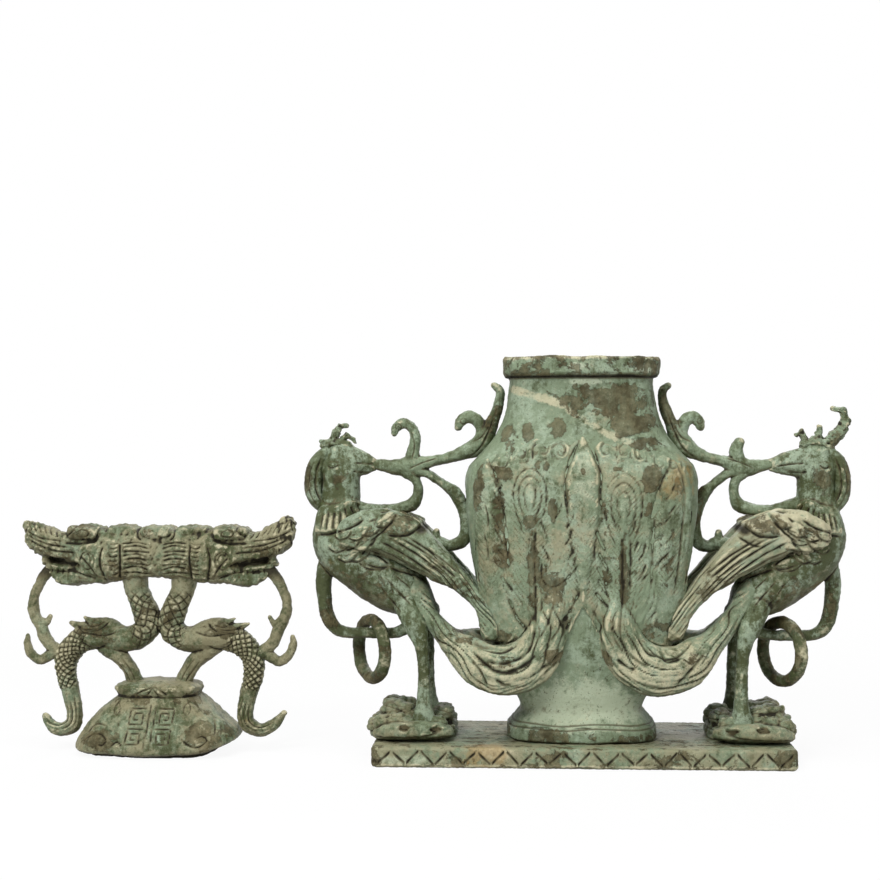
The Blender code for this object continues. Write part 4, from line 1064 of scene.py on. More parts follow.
class JADE_OT_vase(bpy.types.Operator):
    """Makes the vase: foot, swelling body, neck and rim, hollow inside"""

    bl_idname = "jade.vase"
    bl_label = "Vase"

    def execute(self, context):
        low, high = (np.array(corner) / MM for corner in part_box("vase"))
        if abs(low[2] - FOOT) > 0.5 or abs(FOOT + VASE_RIM[-1][0] - high[2]) > 1:
            raise RuntimeError("the vase's rows no longer fit its CAD height")
        outside = [*spread(VASE_FOOT, 1.4), *spread(curve(VASE_BODY, 10), 1.6), *spread(VASE_RIM, 1.2)]
        inside = spread(VASE_HOLLOW, 9.0)
        rows = oblong_rows([*outside, *inside], VASE_SIDES)
        rows[:, :, 2] += FOOT
        skin = Skin(loft("vase_skin", rows))
        z = skin.place[:, 2]
        out = np.einsum("ij,ij->i", skin.normal[:, :2], skin.place[:, :2]) > 0
        skin.rise = 0.4 * drift(skin.place, 16, 8) * out
        rim = out & (z > UNDER_RIM)
        skin.rise += 0.4 * drift(skin.place, 7, 9) * rim
        for height, depth in FOOT_LINES:
            wave = z - FOOT - height - 0.5 * np.sin(skin.place[:, 0] / 9)
            line = np.clip(1 - np.abs(wave) / 0.9, 0, 1) * out
            skin.at_least("bite", line * depth)
            skin.at_least("cut", line * 0.6)
        skin.at_least("cut", 0.95 * np.clip(1 - np.abs(z - FOOT) / 1.3, 0, 1))
        # Painted shadow: a dark band just under the rim, where its overhang shades the neck
        skin.at_least("cut", 0.9 * np.clip(1 - np.abs(z - UNDER_RIM - 0.5) / 2.2, 0, 1) * out)
        skin.settle_on("crust", VASE_CRUST)
        skin.at_least("crust", 0.7 * rim)
        skin.at_least("crust", 0.75 * ~out)
        skin.streak("worn", [(-47, 254), (-30, 249), (-13, 243)], 4.0, 1.0)
        skin.streak("worn", [(-10, 240), (4, 231), (20, 222), (38, 216)], 3.6, 0.95)
        skin.settle_on("pale", [(2, 259, 16, 3, 0.9), (42, 268, 9, 4, 1.0), (-5, 269, 7, 3, 1.0)])
        # The pale patch low on the foot is pale bloom, and partly painted light that lifts the shade the tails cast
        # there
        skin.settle_on("pale", [(0, 40, 52, 20, 0.95), (-15, 225, 40, 10, 0.35)])
        skin.settle_on("worn", [(0, 27, 60, 8, 0.6)])
        skin.finish("vase_jade", "vessel", ["vase"], hollows=0.5)
        return {"FINISHED"}


UNDER_RIM = 262.0
FOOT_LINES = ((9.6, 1.0), (12.2, 0.6))
VASE_SIDES, COVER_SIDES = 280, 310
VASE_FOOT = ((0.0, 100, 81), (1.5, 103, 84), (9.0, 102, 83), (10.5, 99, 80))
VASE_BODY = (
    (10.5, 99, 80), (15.5, 90, 71.5), (21.5, 84, 66), (32, 93.2, 70.2), (41, 102.5, 74.4), (54.6, 114.8, 79.5),
    (71.2, 127.1, 84.9), (93.7, 138.7, 90), (132.9, 154.1, 95.1), (172, 161, 96), (185.3, 156.1, 92),
    (190.9, 148.2, 88.6), (197.9, 134.8, 83), (207, 120.7, 76.8), (221, 107.3, 69.7), (242, 100, 65),
    (248.5, 100, 66),
)
VASE_RIM = ((248.5, 100, 66), (249, 105, 73), (251, 108, 76), (260.5, 108, 76), (262, 106, 74))
VASE_HOLLOW = (
    (262, 95, 63), (249, 95, 63), (242, 84, 49), (207, 104.7, 60.8), (190.9, 132.2, 72.6), (172, 145, 80),
    (132.9, 138.1, 79.1), (93.7, 122.7, 74), (60, 106.7, 58),
)
VASE_CRUST = (
    (18, 245, 34, 13, 1.05), (32, 231, 20, 9, 1.0), (6, 240, 16, 9, 0.8), (-37, 226, 4.5, 7, 1.1),
    (-16, 230, 6, 8, 0.95), (-52, 196, 6, 6, 0.8), (44, 216, 16, 8, 0.75), (-50, 222, 8, 12, 0.55),
    (8, 60, 14, 8, 0.45), (-30, 19, 30, 6, 0.75), (30, 18, 30, 4, 0.7),
)


def vase_reach(z):
    """Half the vase's width and half its depth at some heights."""
    level, width, depth = curve(VASE_BODY, 10).T
    return np.interp(z - FOOT, level, width) / 2, np.interp(z - FOOT, level, depth) / 2


def part_feathers(skin, lift):
    """Opens the gap between the wings and the tails beside the vase, by a lift for each side."""
    start, end = np.array(FEATHER_GAP, float)
    way = (end - start) / np.hypot(*(end - start))
    up = np.array([way[1], -way[0]])
    spots = np.column_stack([np.abs(skin.place[:, 0]), skin.place[:, 2]]) - start
    along = spots @ way / np.hypot(*(end - start))
    push = smooth_step(along, -0.1, 0.35) * (1 - smooth_step(along, 0.75, 1.15))
    push = push * np.exp(-((spots @ up / 14) ** 2)) * np.where(skin.place[:, 0] < 0, *lift)
    skin.place[:, 0] += np.sign(skin.place[:, 0]) * up[0] * push
    skin.place[:, 2] += up[1] * push


FEATHER_GAP = ((106, 116), (72, 89))
TAIL_LIFT = {"front": (-7.0, -5.5), "back": (-12.0, -11.0)}
WING_LIFT = (8.0, 5.0)


def bird_places(skin, side, reaching=True):
    """Sets the places that cuts are read by to the distance from the vase's axis and the height."""
    u = np.abs(skin.place[:, 0])
    if reaching:
        far = REACH["left"] / REACH[side]
        u = np.where(u > LEG_AXIS, LEG_AXIS + (u - LEG_AXIS) * far, u)
    skin.flat = np.column_stack([u, skin.place[:, 2]])


class JADE_OT_plumes(bpy.types.Operator):
    """Carves the tails: bundles that sweep under the vase and spread over its faces as plumes"""

    bl_idname = "jade.plumes"
    bl_label = "Tail plumes"

    def execute(self, context):
        for end in ENDS:
            self.carve(end)
        return {"FINISHED"}

    def carve(self, end):
        """The two tails of one face."""
        nodes = [f"tail_{side}_{end}" for side in SIDES]
        sweeps = [limb(towards(SWEEP, end), on_side(side)) for side in SIDES]
        piece = rough_out(f"plumes_{end}", 1.26, 4, sweeps, nodes, swell=0.2)
        self.lay(piece)
        skin = Skin(piece)
        part_feathers(skin, TAIL_LIFT[end])
        x, _, z = skin.place.T
        skin.rise = skin.waves((0.35, 15, 21), (0.12, 4, 22))
        skin.flat = np.column_stack([np.abs(x), z])
        skin.strands(TAIL_SPINE, TAIL_WIDTHS, 5, 1.25, (0.0, 0.62), dark=1.0, wander=0.4, seed=3, sharp=0.1)
        skin.strands(TAIL_SPINE, TAIL_WIDTHS, 14, 0.5, (0.05, 0.8), dark=0.3, wander=0.5, seed=5)
        skin.flat = np.column_stack([x, z])
        skin.raised(SPEAR, 2.0, 1.6)
        for px, pz, rings in EYE_PLUMES:
            for order, (wide, high) in enumerate(reversed(rings)):
                drop = [(px + a * wide, pz + b * high) for a, b in EYE]
                skin.raised(drop, 0.8, 1.0)
                skin.groove(drop, 1.2, 1.0, 0.26 + 0.1 * order)
                skin.ridge([(a + 0.16 * (px - a), b) for a, b in drop], 1.1, 0.5)
            skin.groove([(px, pz - 20), (px - 1, pz - 45), (px, pz - 72)], 0.9, 0.7, 0.35, soft=3)
            skin.ridge([(px + 2.5, pz - 24), (px + 2, pz - 50), (px + 3, pz - 80)], 1.3, 0.5)
            skin.ridge([(px - 3, pz - 24), (px - 3.5, pz - 50), (px - 3, pz - 80)], 1.3, 0.5)
        for px, pz, size, lean in CURLS:
            half = 1.3 * size
            curl = [(px + lean * a * half, pz + b * half) for a, b in CURL]
            skin.ridge(curl, 1.6, 1.0)
            skin.groove([(a * 0.8 + px * 0.2, b * 0.8 + pz * 0.2) for a, b in curl], 1.0, 1.0, 0.65)
        for line in BARBS:
            (ax, az), (bx, bz) = line
            bend = [(ax, az), ((ax + bx) / 2 + 0.8, (az + bz) / 2 - 0.6), (bx, bz)]
            skin.groove(bend, 0.9, 0.9, 0.55, soft=2.0)
            skin.ridge([(a + 1.8, b + 0.6) for a, b in bend], 0.9, 0.35)
        for axis, reach in VANES:
            run = (z - 1.3 * np.abs(x - axis) + 1.5 * drift(skin.place, 12, 23)) / 3.6
            barb = np.abs(run - np.round(run)) * 2
            there = (1 - smooth_step(np.abs(x - axis), 0.75 * reach, reach)) * smooth_step(np.abs(x - axis), 0.8, 3)
            there = there * smooth_step(z, 96, 118) * (1 - smooth_step(z, 176, 206)) * skin.facing
            skin.rise += 0.28 * (barb - 0.5) * there
            skin.at_least("cut", 0.42 * np.clip(1 - barb / 0.45, 0, 1) * there)
        skin.grooves([(1.35 * w, 1.15 * d, line) for w, d, line in FACE_CUTS], soft=3.4, dark=0.7)
        skin.settle_on("crust", PLUME_CRUST)
        skin.settle_on("pale", [(0, 190, 9, 30, 0.6), (0, 150, 14, 40, 0.4), (-36, 184, 9, 14, 0.5)])
        skin.settle_on("pale", [(27, 178, 10, 16, 0.5), (-66, 178, 5, 14, 0.6), (40, 200, 20, 10, 0.4)])
        low = 1 - smooth_step(z + 5 * drift(skin.place, 18, 24), 66, 118)
        skin.at_least("worn", 0.9 * low * (skin.cut < 0.3))
        skin.settle_on("worn", [(45, 207, 22, 8, 0.6), (-46, 209, 20, 5, 0.5), (60, 197, 8, 8, 0.7)])
        skin.finish("plume_jade", "vessel", nodes, hollows=0.7, slot="feather_jade")

    def lay(self, piece):
        """Lays the spread plumes low on the vase's face, with an edge that sinks into it."""
        place = read(piece.data.vertices, "co") / MM
        normal = read(piece.data.vertex_normals, "vector")
        x, y, z = np.abs(place.T)
        wide, deep = vase_reach(z)
        low, high = np.full(len(x), -6.0), np.full(len(x), 60.0)
        for _ in range(16):
            grow = (low + high) / 2
            outside = (x / (wide + grow)) ** CORNER + (y / (deep + grow)) ** CORNER > 1
            low, high = np.where(outside, grow, low), np.where(outside, high, grow)
        slope = (x ** (CORNER - 1) / wide**CORNER, y ** (CORNER - 1) / deep**CORNER)
        out = np.sign(place[:, :2]) * np.column_stack(slope)
        out /= np.linalg.norm(out, axis=1)[:, None] + 1e-9
        outward = smooth_step(np.einsum("ij,ij->i", out, normal[:, :2]), -0.15, 0.35)
        depth = depth_inside(place[:, [0, 2]], np.array([*FACE_EDGE, FACE_EDGE[0]], float), 4.0)
        wanted = -1.0 + 2.7 * smooth_step(depth, -0.4, 3.4)
        wanted = -3.0 + (wanted + 3.0) * outward
        keep = smooth_step(grow, 5.2, 9.0)
        keep = np.maximum(keep, smooth_step(x, wide - 4, wide - 1))
        grow = grow * keep + wanted * (1 - keep)
        laid = (deep + grow) * np.clip(1 - (x / (wide + grow)) ** CORNER, 0, 1) ** (1 / CORNER)
        place[:, 1] = np.where(keep < 1, np.sign(place[:, 1]) * laid, place[:, 1])
        move(piece.data, place)
        apply(piece, "SMOOTH", "Settle", factor=0.5, iterations=3)


PLUME_CRUST = (
    (-27, 202, 8, 5, 1.0), (-20, 173, 3.2, 10, 1.1), (-10, 183, 2.6, 6, 1.0), (-34, 165, 8, 5, 0.9),
    (-54, 197, 9, 5, 0.9), (-71, 190, 5, 24, 0.9), (-57, 170, 6, 16, 0.7), (-56, 150, 7, 22, 0.8),
    (-22, 120, 13, 14, 0.75), (-33, 130, 4, 30, 0.8), (46, 192, 7, 9, 1.1), (14, 165, 4, 22, 0.8),
    (16, 130, 5, 20, 0.7), (44, 172, 5, 7, 0.7), (64, 190, 5, 8, 0.8), (58, 145, 5, 20, 0.75),
    (27, 130, 3.5, 32, 0.8), (20, 200, 6, 2.5, 1.0), (0, 198, 1.5, 2.5, 1.1), (-56, 86, 12, 6, 0.9),
    (-74, 100, 6, 16, 0.8), (50, 90, 12, 8, 0.75), (-18, 74, 12, 6, 0.9), (14, 72, 8, 6, 0.8), (-88, 84, 8, 10, 0.7),
    (-62, 70, 16, 5, 0.6), (70, 74, 12, 6, 0.65), (30, 84, 8, 10, 0.6),
)


class JADE_OT_wings(bpy.types.Operator):
    """Carves the wings: leaf-shaped coverts, a shoulder block and long flight feathers"""

    bl_idname = "jade.wings"
    bl_label = "Wings"

    def execute(self, context):
        for side in SIDES:
            for end in ENDS:
                self.carve(side, end)
        return {"FINISHED"}

    def carve(self, side, end):
        """One wing."""
        node = f"wing_{side}_{end}"
        skin = Skin(rough_out(f"wing_skin_{side}_{end}", 0.9, 8, nodes=[node], swell=0.25))
        part_feathers(skin, WING_LIFT)
        bird_places(skin, side, False)
        skin.rise = skin.waves((0.35, 12, 31), (0.15, 4, 32))
        skin.raised(SHOULDER_BLOCK, 2.2, 2.5)
        skin.strands(WING_SPINE, WING_WIDTHS, 8, 1.3, (0.42, 1.0), dark=0.75, wander=0.16, seed=2)
        for leaf in COVERTS:
            cut_leaf(skin, *leaf)
        skin.grooves(BIRD_CUTS, soft=2.6)
        if side == "right":
            skin.grooves(RIGHT_WING_CUTS, soft=2.0)
        high = smooth_step(skin.place[:, 2] + 0.5 * (skin.flat[:, 0] - 125), 136, 158)
        skin.at_least("worn", high * (0.5 if side == "left" else 0.85))
        skin.crust = 0.45 * high * (drift(skin.place, 9, 33) > 0.1)
        skin.settle_on("cut", [(110, 158, 3.5, 3, 0.8)])
        skin.settle_on("crust", [(125, 162, 14, 8, 0.7), (95, 118, 16, 16, 0.6), (150, 155, 12, 6, 0.5)])
        look = "feather_jade" if side == "left" else "pale_feather"
        skin.finish(look, "vessel", [node], slot="feather_jade")


SHOULDER_BLOCK = ((134, 156), (122, 155), (112, 158), (109, 166), (116, 171), (132, 170), (139, 163))
WING_SPINE = ((163, 155), (138, 156), (120, 149), (97.5, 132), (77.5, 110), (60, 88))
WING_WIDTHS = (12, 18, 17.5, 13, 10, 9)
RIGHT_WING_CUTS = (
    (0.9, 1.2, [(134.9, 161.1), (139, 158.5), (144.1, 156.5)]),
    (1.4, 1.8, [(105.6, 153.8), (113, 149.2), (120.3, 146.5)]),
    (0.9, 1.1, [(128, 167), (131, 163), (133, 160)]),
    (0.8, 1.0, [(140, 150), (147, 148), (152, 149)]),
    (0.8, 1.0, [(136, 146), (143, 143), (149, 144)]),
    (0.8, 1.0, [(144, 152.5), (150, 150.5), (158, 151.5)]),
    (0.8, 1.0, [(150, 158.5), (156, 157), (163, 157.5)]),
    (0.8, 1.0, [(141, 156), (146, 153), (152, 154)]),
)


def cut_leaf(skin, u, z, wide, high, lean):
    """One leaf-shaped feather: raised, undercut along one side and split by its quill."""
    turn = math.radians(lean)
    c, s = math.cos(turn), math.sin(turn)

    def at(a, b):
        return u - a * c - b * s, z - a * s + b * c

    outline = [at(-wide, 0), at(-wide * 0.4, high), at(wide * 0.4, high * 0.8), at(wide, 0)]
    outline += [at(wide * 0.4, -high * 0.8), at(-wide * 0.4, -high)]
    skin.raised(outline, 1.1, 1.4)
    skin.groove([*outline[3:], outline[0]], 1.2, 1.4, 0.85)
    skin.groove([at(-wide * 0.6, 0), at(wide * 0.8, 0)], 0.7, 0.5, 0.35)
    skin.settle_on("worn", [(u, z, wide * 0.5, high * 0.5, 0.4)])


class JADE_OT_birds(bpy.types.Operator):
    """Carves the phoenixes: head, neck with its ruff, body, legs and the bar that carries the ring"""

    bl_idname = "jade.birds"
    bl_label = "Phoenixes"

    def execute(self, context):
        for side in SIDES:
            self.carve(side)
        return {"FINISHED"}

    def carve(self, side):
        """One phoenix with its legs and bar."""
        nodes = [f"phoenix_{side}", f"leg_{side}_front", f"leg_{side}_back", f"ring_bar_{side}"]
        put = on_side(side)
        limbs = [limb(reached(row, side), put) for row in (TORSO, NECK, BAR)]
        limbs += [limb(towards(SHANK, end), put) for end in ENDS]
        limbs += [limb(row, put) for row in self.head(side)]
        skin = Skin(rough_out(f"phoenix_skin_{side}", 1.08, 4, limbs))
        bird_places(skin, side)
        skin.rise = skin.waves((0.4, 14, 41), (0.15, 4, 42))
        bar = (skin.place[:, 2] < 92) & (np.abs(skin.place[:, 1]) < 8)
        skin.rise = np.where(bar, np.minimum(skin.rise, 0), skin.rise)
        skin.raised(RUFF, 1.7, 1.4)
        for slot in RUFF_SLOTS:
            skin.groove(slot, 1.25, 1.7, 0.65)
        for leaf in COVERTS:
            cut_leaf(skin, *leaf)
        skin.grooves(BIRD_CUTS, soft=2.2)
        skin.grooves(HEAD_CUTS, soft=1.6)
        skin.ridge([(178, 200.5), (173.5, 198), (168, 200.5)], 1.2, 0.5)
        for u in (107, 110.5):
            skin.groove([(u, 80), (u - 1, 60), (u - 1, 34)], 0.7, 0.4, 0.3)
        for step in range(7):
            level = 36 + 5.5 * step
            skin.groove([(103, level), (108, level - 1.5), (114, level)], 0.6, 0.35, 0.3)
        skin.settle_on("crust", [(172, 192, 9, 9, 0.5), (150, 118, 24, 14, 0.5), (176, 95, 8, 20, 0.6)])
        skin.settle_on("worn", [(168, 164, 18, 8, 0.85)])
        skin.settle_on("pale", [(166, 194, 14, 14, 0.34), (112, 108, 16, 18, 0.45), (176, 140, 9, 20, 0.4)])
        skin.settle_on("pale", [(108, 60, 5, 30, 0.5)])
        skin.finish("bird_jade", "vessel", nodes)

    def head(self, side):
        """The skull and the two halves of the beak, which close on the spray."""
        back = LEG_FROM_BELLY + HEAD_FROM_LEG * REACH[side]
        brow, tip = back - 8, BEAK_TIP[side]

        def at(part):
            return brow + (tip - brow) * part

        skull = ((back + 9, 187, 8, 7), (back + 2, 188, 13, 12), (brow, 188.5, 11.5, 10.5))
        skull += ((at(0.45), 189, 7.6, 7), (at(0.8), 188.6, 4.4, 4.8))
        upper = ((at(0.1), 193, 7, 7.5), (at(0.5), 192.5, 4.6, 5), (at(0.85), 191, 2.6, 3.4), (at(1.1), 189.8, 1.2, 2))
        lower = ((at(0.2), 184.5, 5, 6), (at(0.6), 184.6, 3.4, 4.2), (at(0.95), 185.2, 1.4, 2.4))
        return skull, upper, lower


class JADE_OT_head_feathers(bpy.types.Operator):
    """Carves the crests on the crowns and the long locks behind the heads"""

    bl_idname = "jade.head_feathers"
    bl_label = "Crests and locks"

    def execute(self, context):
        for side in SIDES:
            made = limb(reached(LOCK, side), on_side(side))
            lock = Skin(rough_out(f"lock_skin_{side}", 0.75, 3, [made]))
            bird_places(lock, side)
            lock.grooves(LOCK_CUTS, soft=1.6)
            lock.rise += 0.3 * drift(lock.place, 8, 51)
            lock.crust = 0.55 * smooth_step(lock.flat[:, 0], 186, 191)
            lock.finish("bird_jade", "vessel", [f"nape_lock_{side}"], slot="feather_jade")
            crest = Skin(rough_out(f"crest_skin_{side}", 0.6, 4, nodes=[f"crest_{side}"], swell=0.25))
            crest.rise += crest.waves((0.5, 3.5, 52), (0.3, 1.8, 53))
            crest.cut = np.clip(drift(crest.place, 3, 54) - 0.5, 0, 0.8)
            crest.crust[:] = 0.3
            crest.worn = 0.8 * (1 - smooth_step(crest.place[:, 2], 215, 219))
            crest.finish("feather_jade", "vessel", [f"crest_{side}"])
        return {"FINISHED"}


class JADE_OT_sprays(bpy.types.Operator):
    """Carves the flowering sprays that the phoenixes hold in their beaks"""

    bl_idname = "jade.sprays"
    bl_label = "Sprays"

    def execute(self, context):
        for side in SIDES:
            limbs = [limb(drawn_in(row, side), on_side(side)) for row in (STEM, SCROLLS[side], *TWIGS)]
            skin = Skin(rough_out(f"spray_skin_{side}", 0.84, 5, limbs))
            skin.flat = np.column_stack([np.abs(skin.place[:, 0]), skin.place[:, 2]])
            skin.rise = skin.waves((0.3, 9, 61), (0.15, 3.5, 62))
            skin.grooves(SPRAY_CUTS)
            for centre in SPRAY_EYES:
                skin.oval(centre, (2.0, 2.0), 0.7, 0.7, 0.6)
            skin.settle_on("crust", [(60, 235, 10, 18, 0.7), (82, 170, 6, 20, 0.5)])
            skin.finish("spray_jade", "vessel", [f"spray_{side}"])
        return {"FINISHED"}


SPRAY_EYES = ((82, 232.5), (127.5, 228.5))
SPRAY_CUTS = (
    (1.2, 1.5, [(79, 206), (70, 214), (64, 226), (59, 240)]),
    (0.9, 0.9, [(76, 218), (69, 222), (64, 230)]),
    (0.8, 0.8, [(120, 199), (112, 203), (100, 207)]),
    (0.8, 0.8, [(118, 206), (116, 216), (119, 226)]),
)


ROCK_LIPS = (((141, 16.2), (118, 16.6), (105, 18.2), (95, 22.5)), ((96, 16), (88, 16.4)))
ROCK_HOLES = ((120.5, 24.8, 4.6, 3.0), (99, 23.5, 5.0, 2.4))


class JADE_OT_rocks(bpy.types.Operator):
    """Breaks up the rockwork under the phoenixes into knobs, slabs and hollows"""

    bl_idname = "jade.rocks"
    bl_label = "Rockwork"

    def execute(self, context):
        crag = context.scene.carving_sizes.crag / MM
        for side in SIDES:
            self.carve(side, crag)
        return {"FINISHED"}

    def carve(self, side, crag):
        """One heap of rocks."""
        put = on_side(side)
        limbs = [limb(HEAP, put, corner=2.3)]
        for end in ENDS:
            limbs.append(limb(towards(SLAB, end), put, corner=3.0))
            for u, z, r, y, d in KNOBS:
                limbs.append(limb(towards(((u - 2, z, r, y, d), (u + 2, z, r, y, d)), end), put))
        skin = Skin(rough_out(f"rock_skin_{side}", 0.95, 3, limbs))
        x, y, z = skin.place.T
        skin.place[:, 2] = np.maximum(z, FOOT)
        u = np.abs(x)
        skin.flat = np.column_stack([u, z])
        front = smooth_step(np.abs(y), 24, 32) * (1 - smooth_step(z, 27, 33))
        free = smooth_step(z, 14.6, 17.5) * (1 - 0.75 * front)
        fold = 1 - 2.2 * np.abs(drift(skin.place, 13, 73))
        strata = (z + 2.4 * drift(skin.place * (1, 1, 0.3), 19, 76)) / 5.6
        ledge = np.abs(strata - np.round(strata)) * 2
        skin.rise = crag * skin.waves((0.3, 9, 71), (0.14, 4, 72)) * free
        skin.rise -= crag * (0.3 * np.clip(fold, 0, 1) + 0.26 * np.clip(1 - ledge / 0.5, 0, 1)) * free
        skin.cut = np.maximum(0.8 * np.clip(fold - 0.5, 0, 1), 0.6 * np.clip(1 - ledge / 0.2, 0, 1)) * free
        skin.worn = np.maximum(0.55 * front, 0.4 * np.clip(drift(skin.place, 9, 71), 0, 1))
        for lip in ROCK_LIPS:
            skin.groove(lip, 1.5, 2.0, 1.0, soft=2.0)
        for hu, hz, wide, high in ROCK_HOLES:
            far = np.hypot((u - hu) / wide, (z - hz) / high) + 0.25 * drift(skin.place, 3, 75)
            hole = (1 - smooth_step(far, 0.65, 1.1)) * (np.abs(y) > 15)
            skin.at_least("bite", 2.4 * hole)
            skin.at_least("cut", 0.45 * hole)
            skin.at_least("crust", 1.3 * hole)
        skin.finish("rock_jade", "vessel", [f"rock_{side}"], hollows=0.6)


class JADE_OT_rings(bpy.types.Operator):
    """Turns the loose rings that hang on the bars"""

    bl_idname = "jade.rings"
    bl_label = "Loose rings"

    def execute(self, context):
        thick = context.scene.carving_sizes.ring_thickness
        for side in SIDES:
            low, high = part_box(f"ring_{side}")
            start_fresh()
            bpy.ops.mesh.primitive_torus_add(
                location=(low + high) / 2,
                rotation=(0.0, math.radians(90), math.radians(RING_TURN)),
                major_segments=170,
                minor_segments=44,
                major_radius=(high.z - low.z - thick) / 2,
                minor_radius=thick / 2,
            )
            bpy.ops.object.transform_apply(location=True, rotation=True, scale=True)
            piece = bpy.context.object
            piece.name = f"ring_skin_{side}"
            skin = Skin(piece)
            skin.rise = skin.waves((0.22, 8, 81), (0.1, 3, 83)) - RING_EASE
            skin.crust = np.clip(0.3 + 0.5 * drift(skin.place, 12, 82), 0, 1)
            skin.finish("ring_jade", f"ring_{side}", [f"ring_{side}"])
        return {"FINISHED"}


RING_TURN = 32.0
RING_EASE = 0.25


class JADE_OT_cover(bpy.types.Operator):
    """Makes the domed cover: lip, dome with its fret and scrolls, and collar"""

    bl_idname = "jade.cover"
    bl_label = "Cover"

    def execute(self, context):
        outside = spread(curve(COVER_DOME, 6), 0.9)
        rows = [*spread(COVER_HOLLOW, 6.0), *spread(COVER_LIP, 1.5), *outside]
        rings = oblong_rows([*rows, *spread(COVER_COLLAR, 0.9)], COVER_SIDES)
        rings[:, :, 0] += COVER_PLACE
        skin = Skin(loft("cover_skin", rings))
        x, _, z = skin.place.T
        u = x - COVER_PLACE
        skin.flat = np.column_stack([u, z])
        out = np.einsum("ij,ij->i", skin.normal, skin.place - (COVER_PLACE, 0, 4)) > 0
        skin.facing *= out
        skin.rise = skin.waves((0.5, 11, 91), (0.2, 4, 92)) * out
        skin.rise += 0.6 * drift(skin.place, 6, 93) * out * smooth_step(z, 42, 44)
        skin.grooves(COVER_CUTS, soft=1.5)
        for cut in fret_lines():
            skin.groove(cut, 0.95, 1.0, 0.9)
        for lean in (-24.5, 24.5):
            skin.oval((lean, 33), (2.2, 3.6), 0.8, 0.9, 0.7)
        skin.settle_on("crust", [(35, 17, 8, 7, 1.1), (-34, 12, 14, 7, 0.7), (44, 10, 10, 7, 0.7)])
        skin.settle_on("crust", [(-12, 38, 20, 4, 0.6), (20, 40, 16, 5, 0.5)])
        skin.at_least("crust", 0.9 * ~out)
        # Painted shade: the lowest few millimetres, the lip under the dome's edge, are darkened as if in its shadow
        skin.at_least("cut", 0.9 * (1 - smooth_step(z, 1.5, 3.6)))
        skin.settle_on("worn", [(-32, 12, 12, 7, 0.8), (12, 44, 16, 4, 0.7), (10, 34, 22, 6, 0.4)])
        lift = 6.5 * smooth_step(u, 28, 57) * (1 - smooth_step(z, 3, 30))
        skin.place[:, 2] += lift
        skin.finish("cover_jade", "cover", ["cover"])
        return {"FINISHED"}


def fret_lines():
    """A plain key fret on the dome: four square spirals about a double upright."""
    made = [[(-0.2, 36), (-3.2, 7)], [(3.6, 36), (0.8, 7)]]
    for lean in (-1, 1):
        for level in (28.5, 15.5):
            spiral = [(3.5, 5), (15, 5), (15, -5), (6, -5), (6, 2), (12, 2), (12, -2), (9, -2)]
            path = [(lean * a + (level + b - 22) * 0.1, level + b) for a, b in spiral]
            made += [[start, end] for start, end in zip(path[:-1], path[1:])]
    return made


COVER_HOLLOW = ((33, 26.6, 16.3), (28, 46.5, 28.6), (16.5, 70.5, 43.4), (4, 83, 51), (0, 83, 51))
COVER_LIP = ((0, 83, 51), (0, 93, 61), (2.2, 93, 61), (2.2, 106, 70))
COVER_DOME = (
    (2.2, 106, 70), (3.2, 111, 75), (6, 113.5, 77), (12, 109.5, 75), (19.2, 99.5, 69), (27.2, 86, 61), (34.6, 70, 52),
    (39, 60, 46), (40.5, 57, 44.5),
)
COVER_COLLAR = (
    (40.5, 57, 44.5), (42, 57.5, 45), (43.5, 59, 46), (45.2, 60.5, 47.5), (46.8, 60, 47), (48, 56, 44),
    (49.2, 46, 36), (50, 30, 24),
)
COVER_CUTS = (
    (1.0, 1.1, [(-28, 41.2), (-12, 40.6), (0, 40.8), (12, 40.4), (28, 41.2)]),
    (1.0, 1.2, [(-12, 42.5), (-5, 46), (0, 49)]),
    (1.0, 1.2, [(10, 42), (5, 46), (0, 49)]),
    (0.9, 1.0, [(-4, 42), (-1.5, 45), (0, 49)]),
    (0.9, 1.0, [(4, 42), (1.5, 45), (0, 49)]),
    (1.0, 1.1, [(-49, 9), (-43, 15), (-35, 17), (-30, 13), (-33, 9.5), (-38, 11)]),
    (0.9, 1.0, [(-46, 17), (-38, 23), (-30, 22)]),
    (0.9, 1.0, [(-27, 8), (-22, 12), (-18, 9)]),
    (1.0, 1.1, [(22, 15), (28, 10), (35, 8), (40, 11), (37, 15), (32, 14)]),
    (0.9, 1.0, [(49, 24), (51, 16), (53, 11)]),
    (0.9, 1.0, [(45, 27), (48, 18), (49, 11)]),
    (0.8, 0.9, [(41, 30), (44, 21), (45, 13)]),
)


def cover_places(skin):
    """Sets the places that cuts are read by to the distance from the cover's middle and the height."""
    skin.flat = np.column_stack([np.abs(skin.place[:, 0] - COVER_PLACE), skin.place[:, 2]])


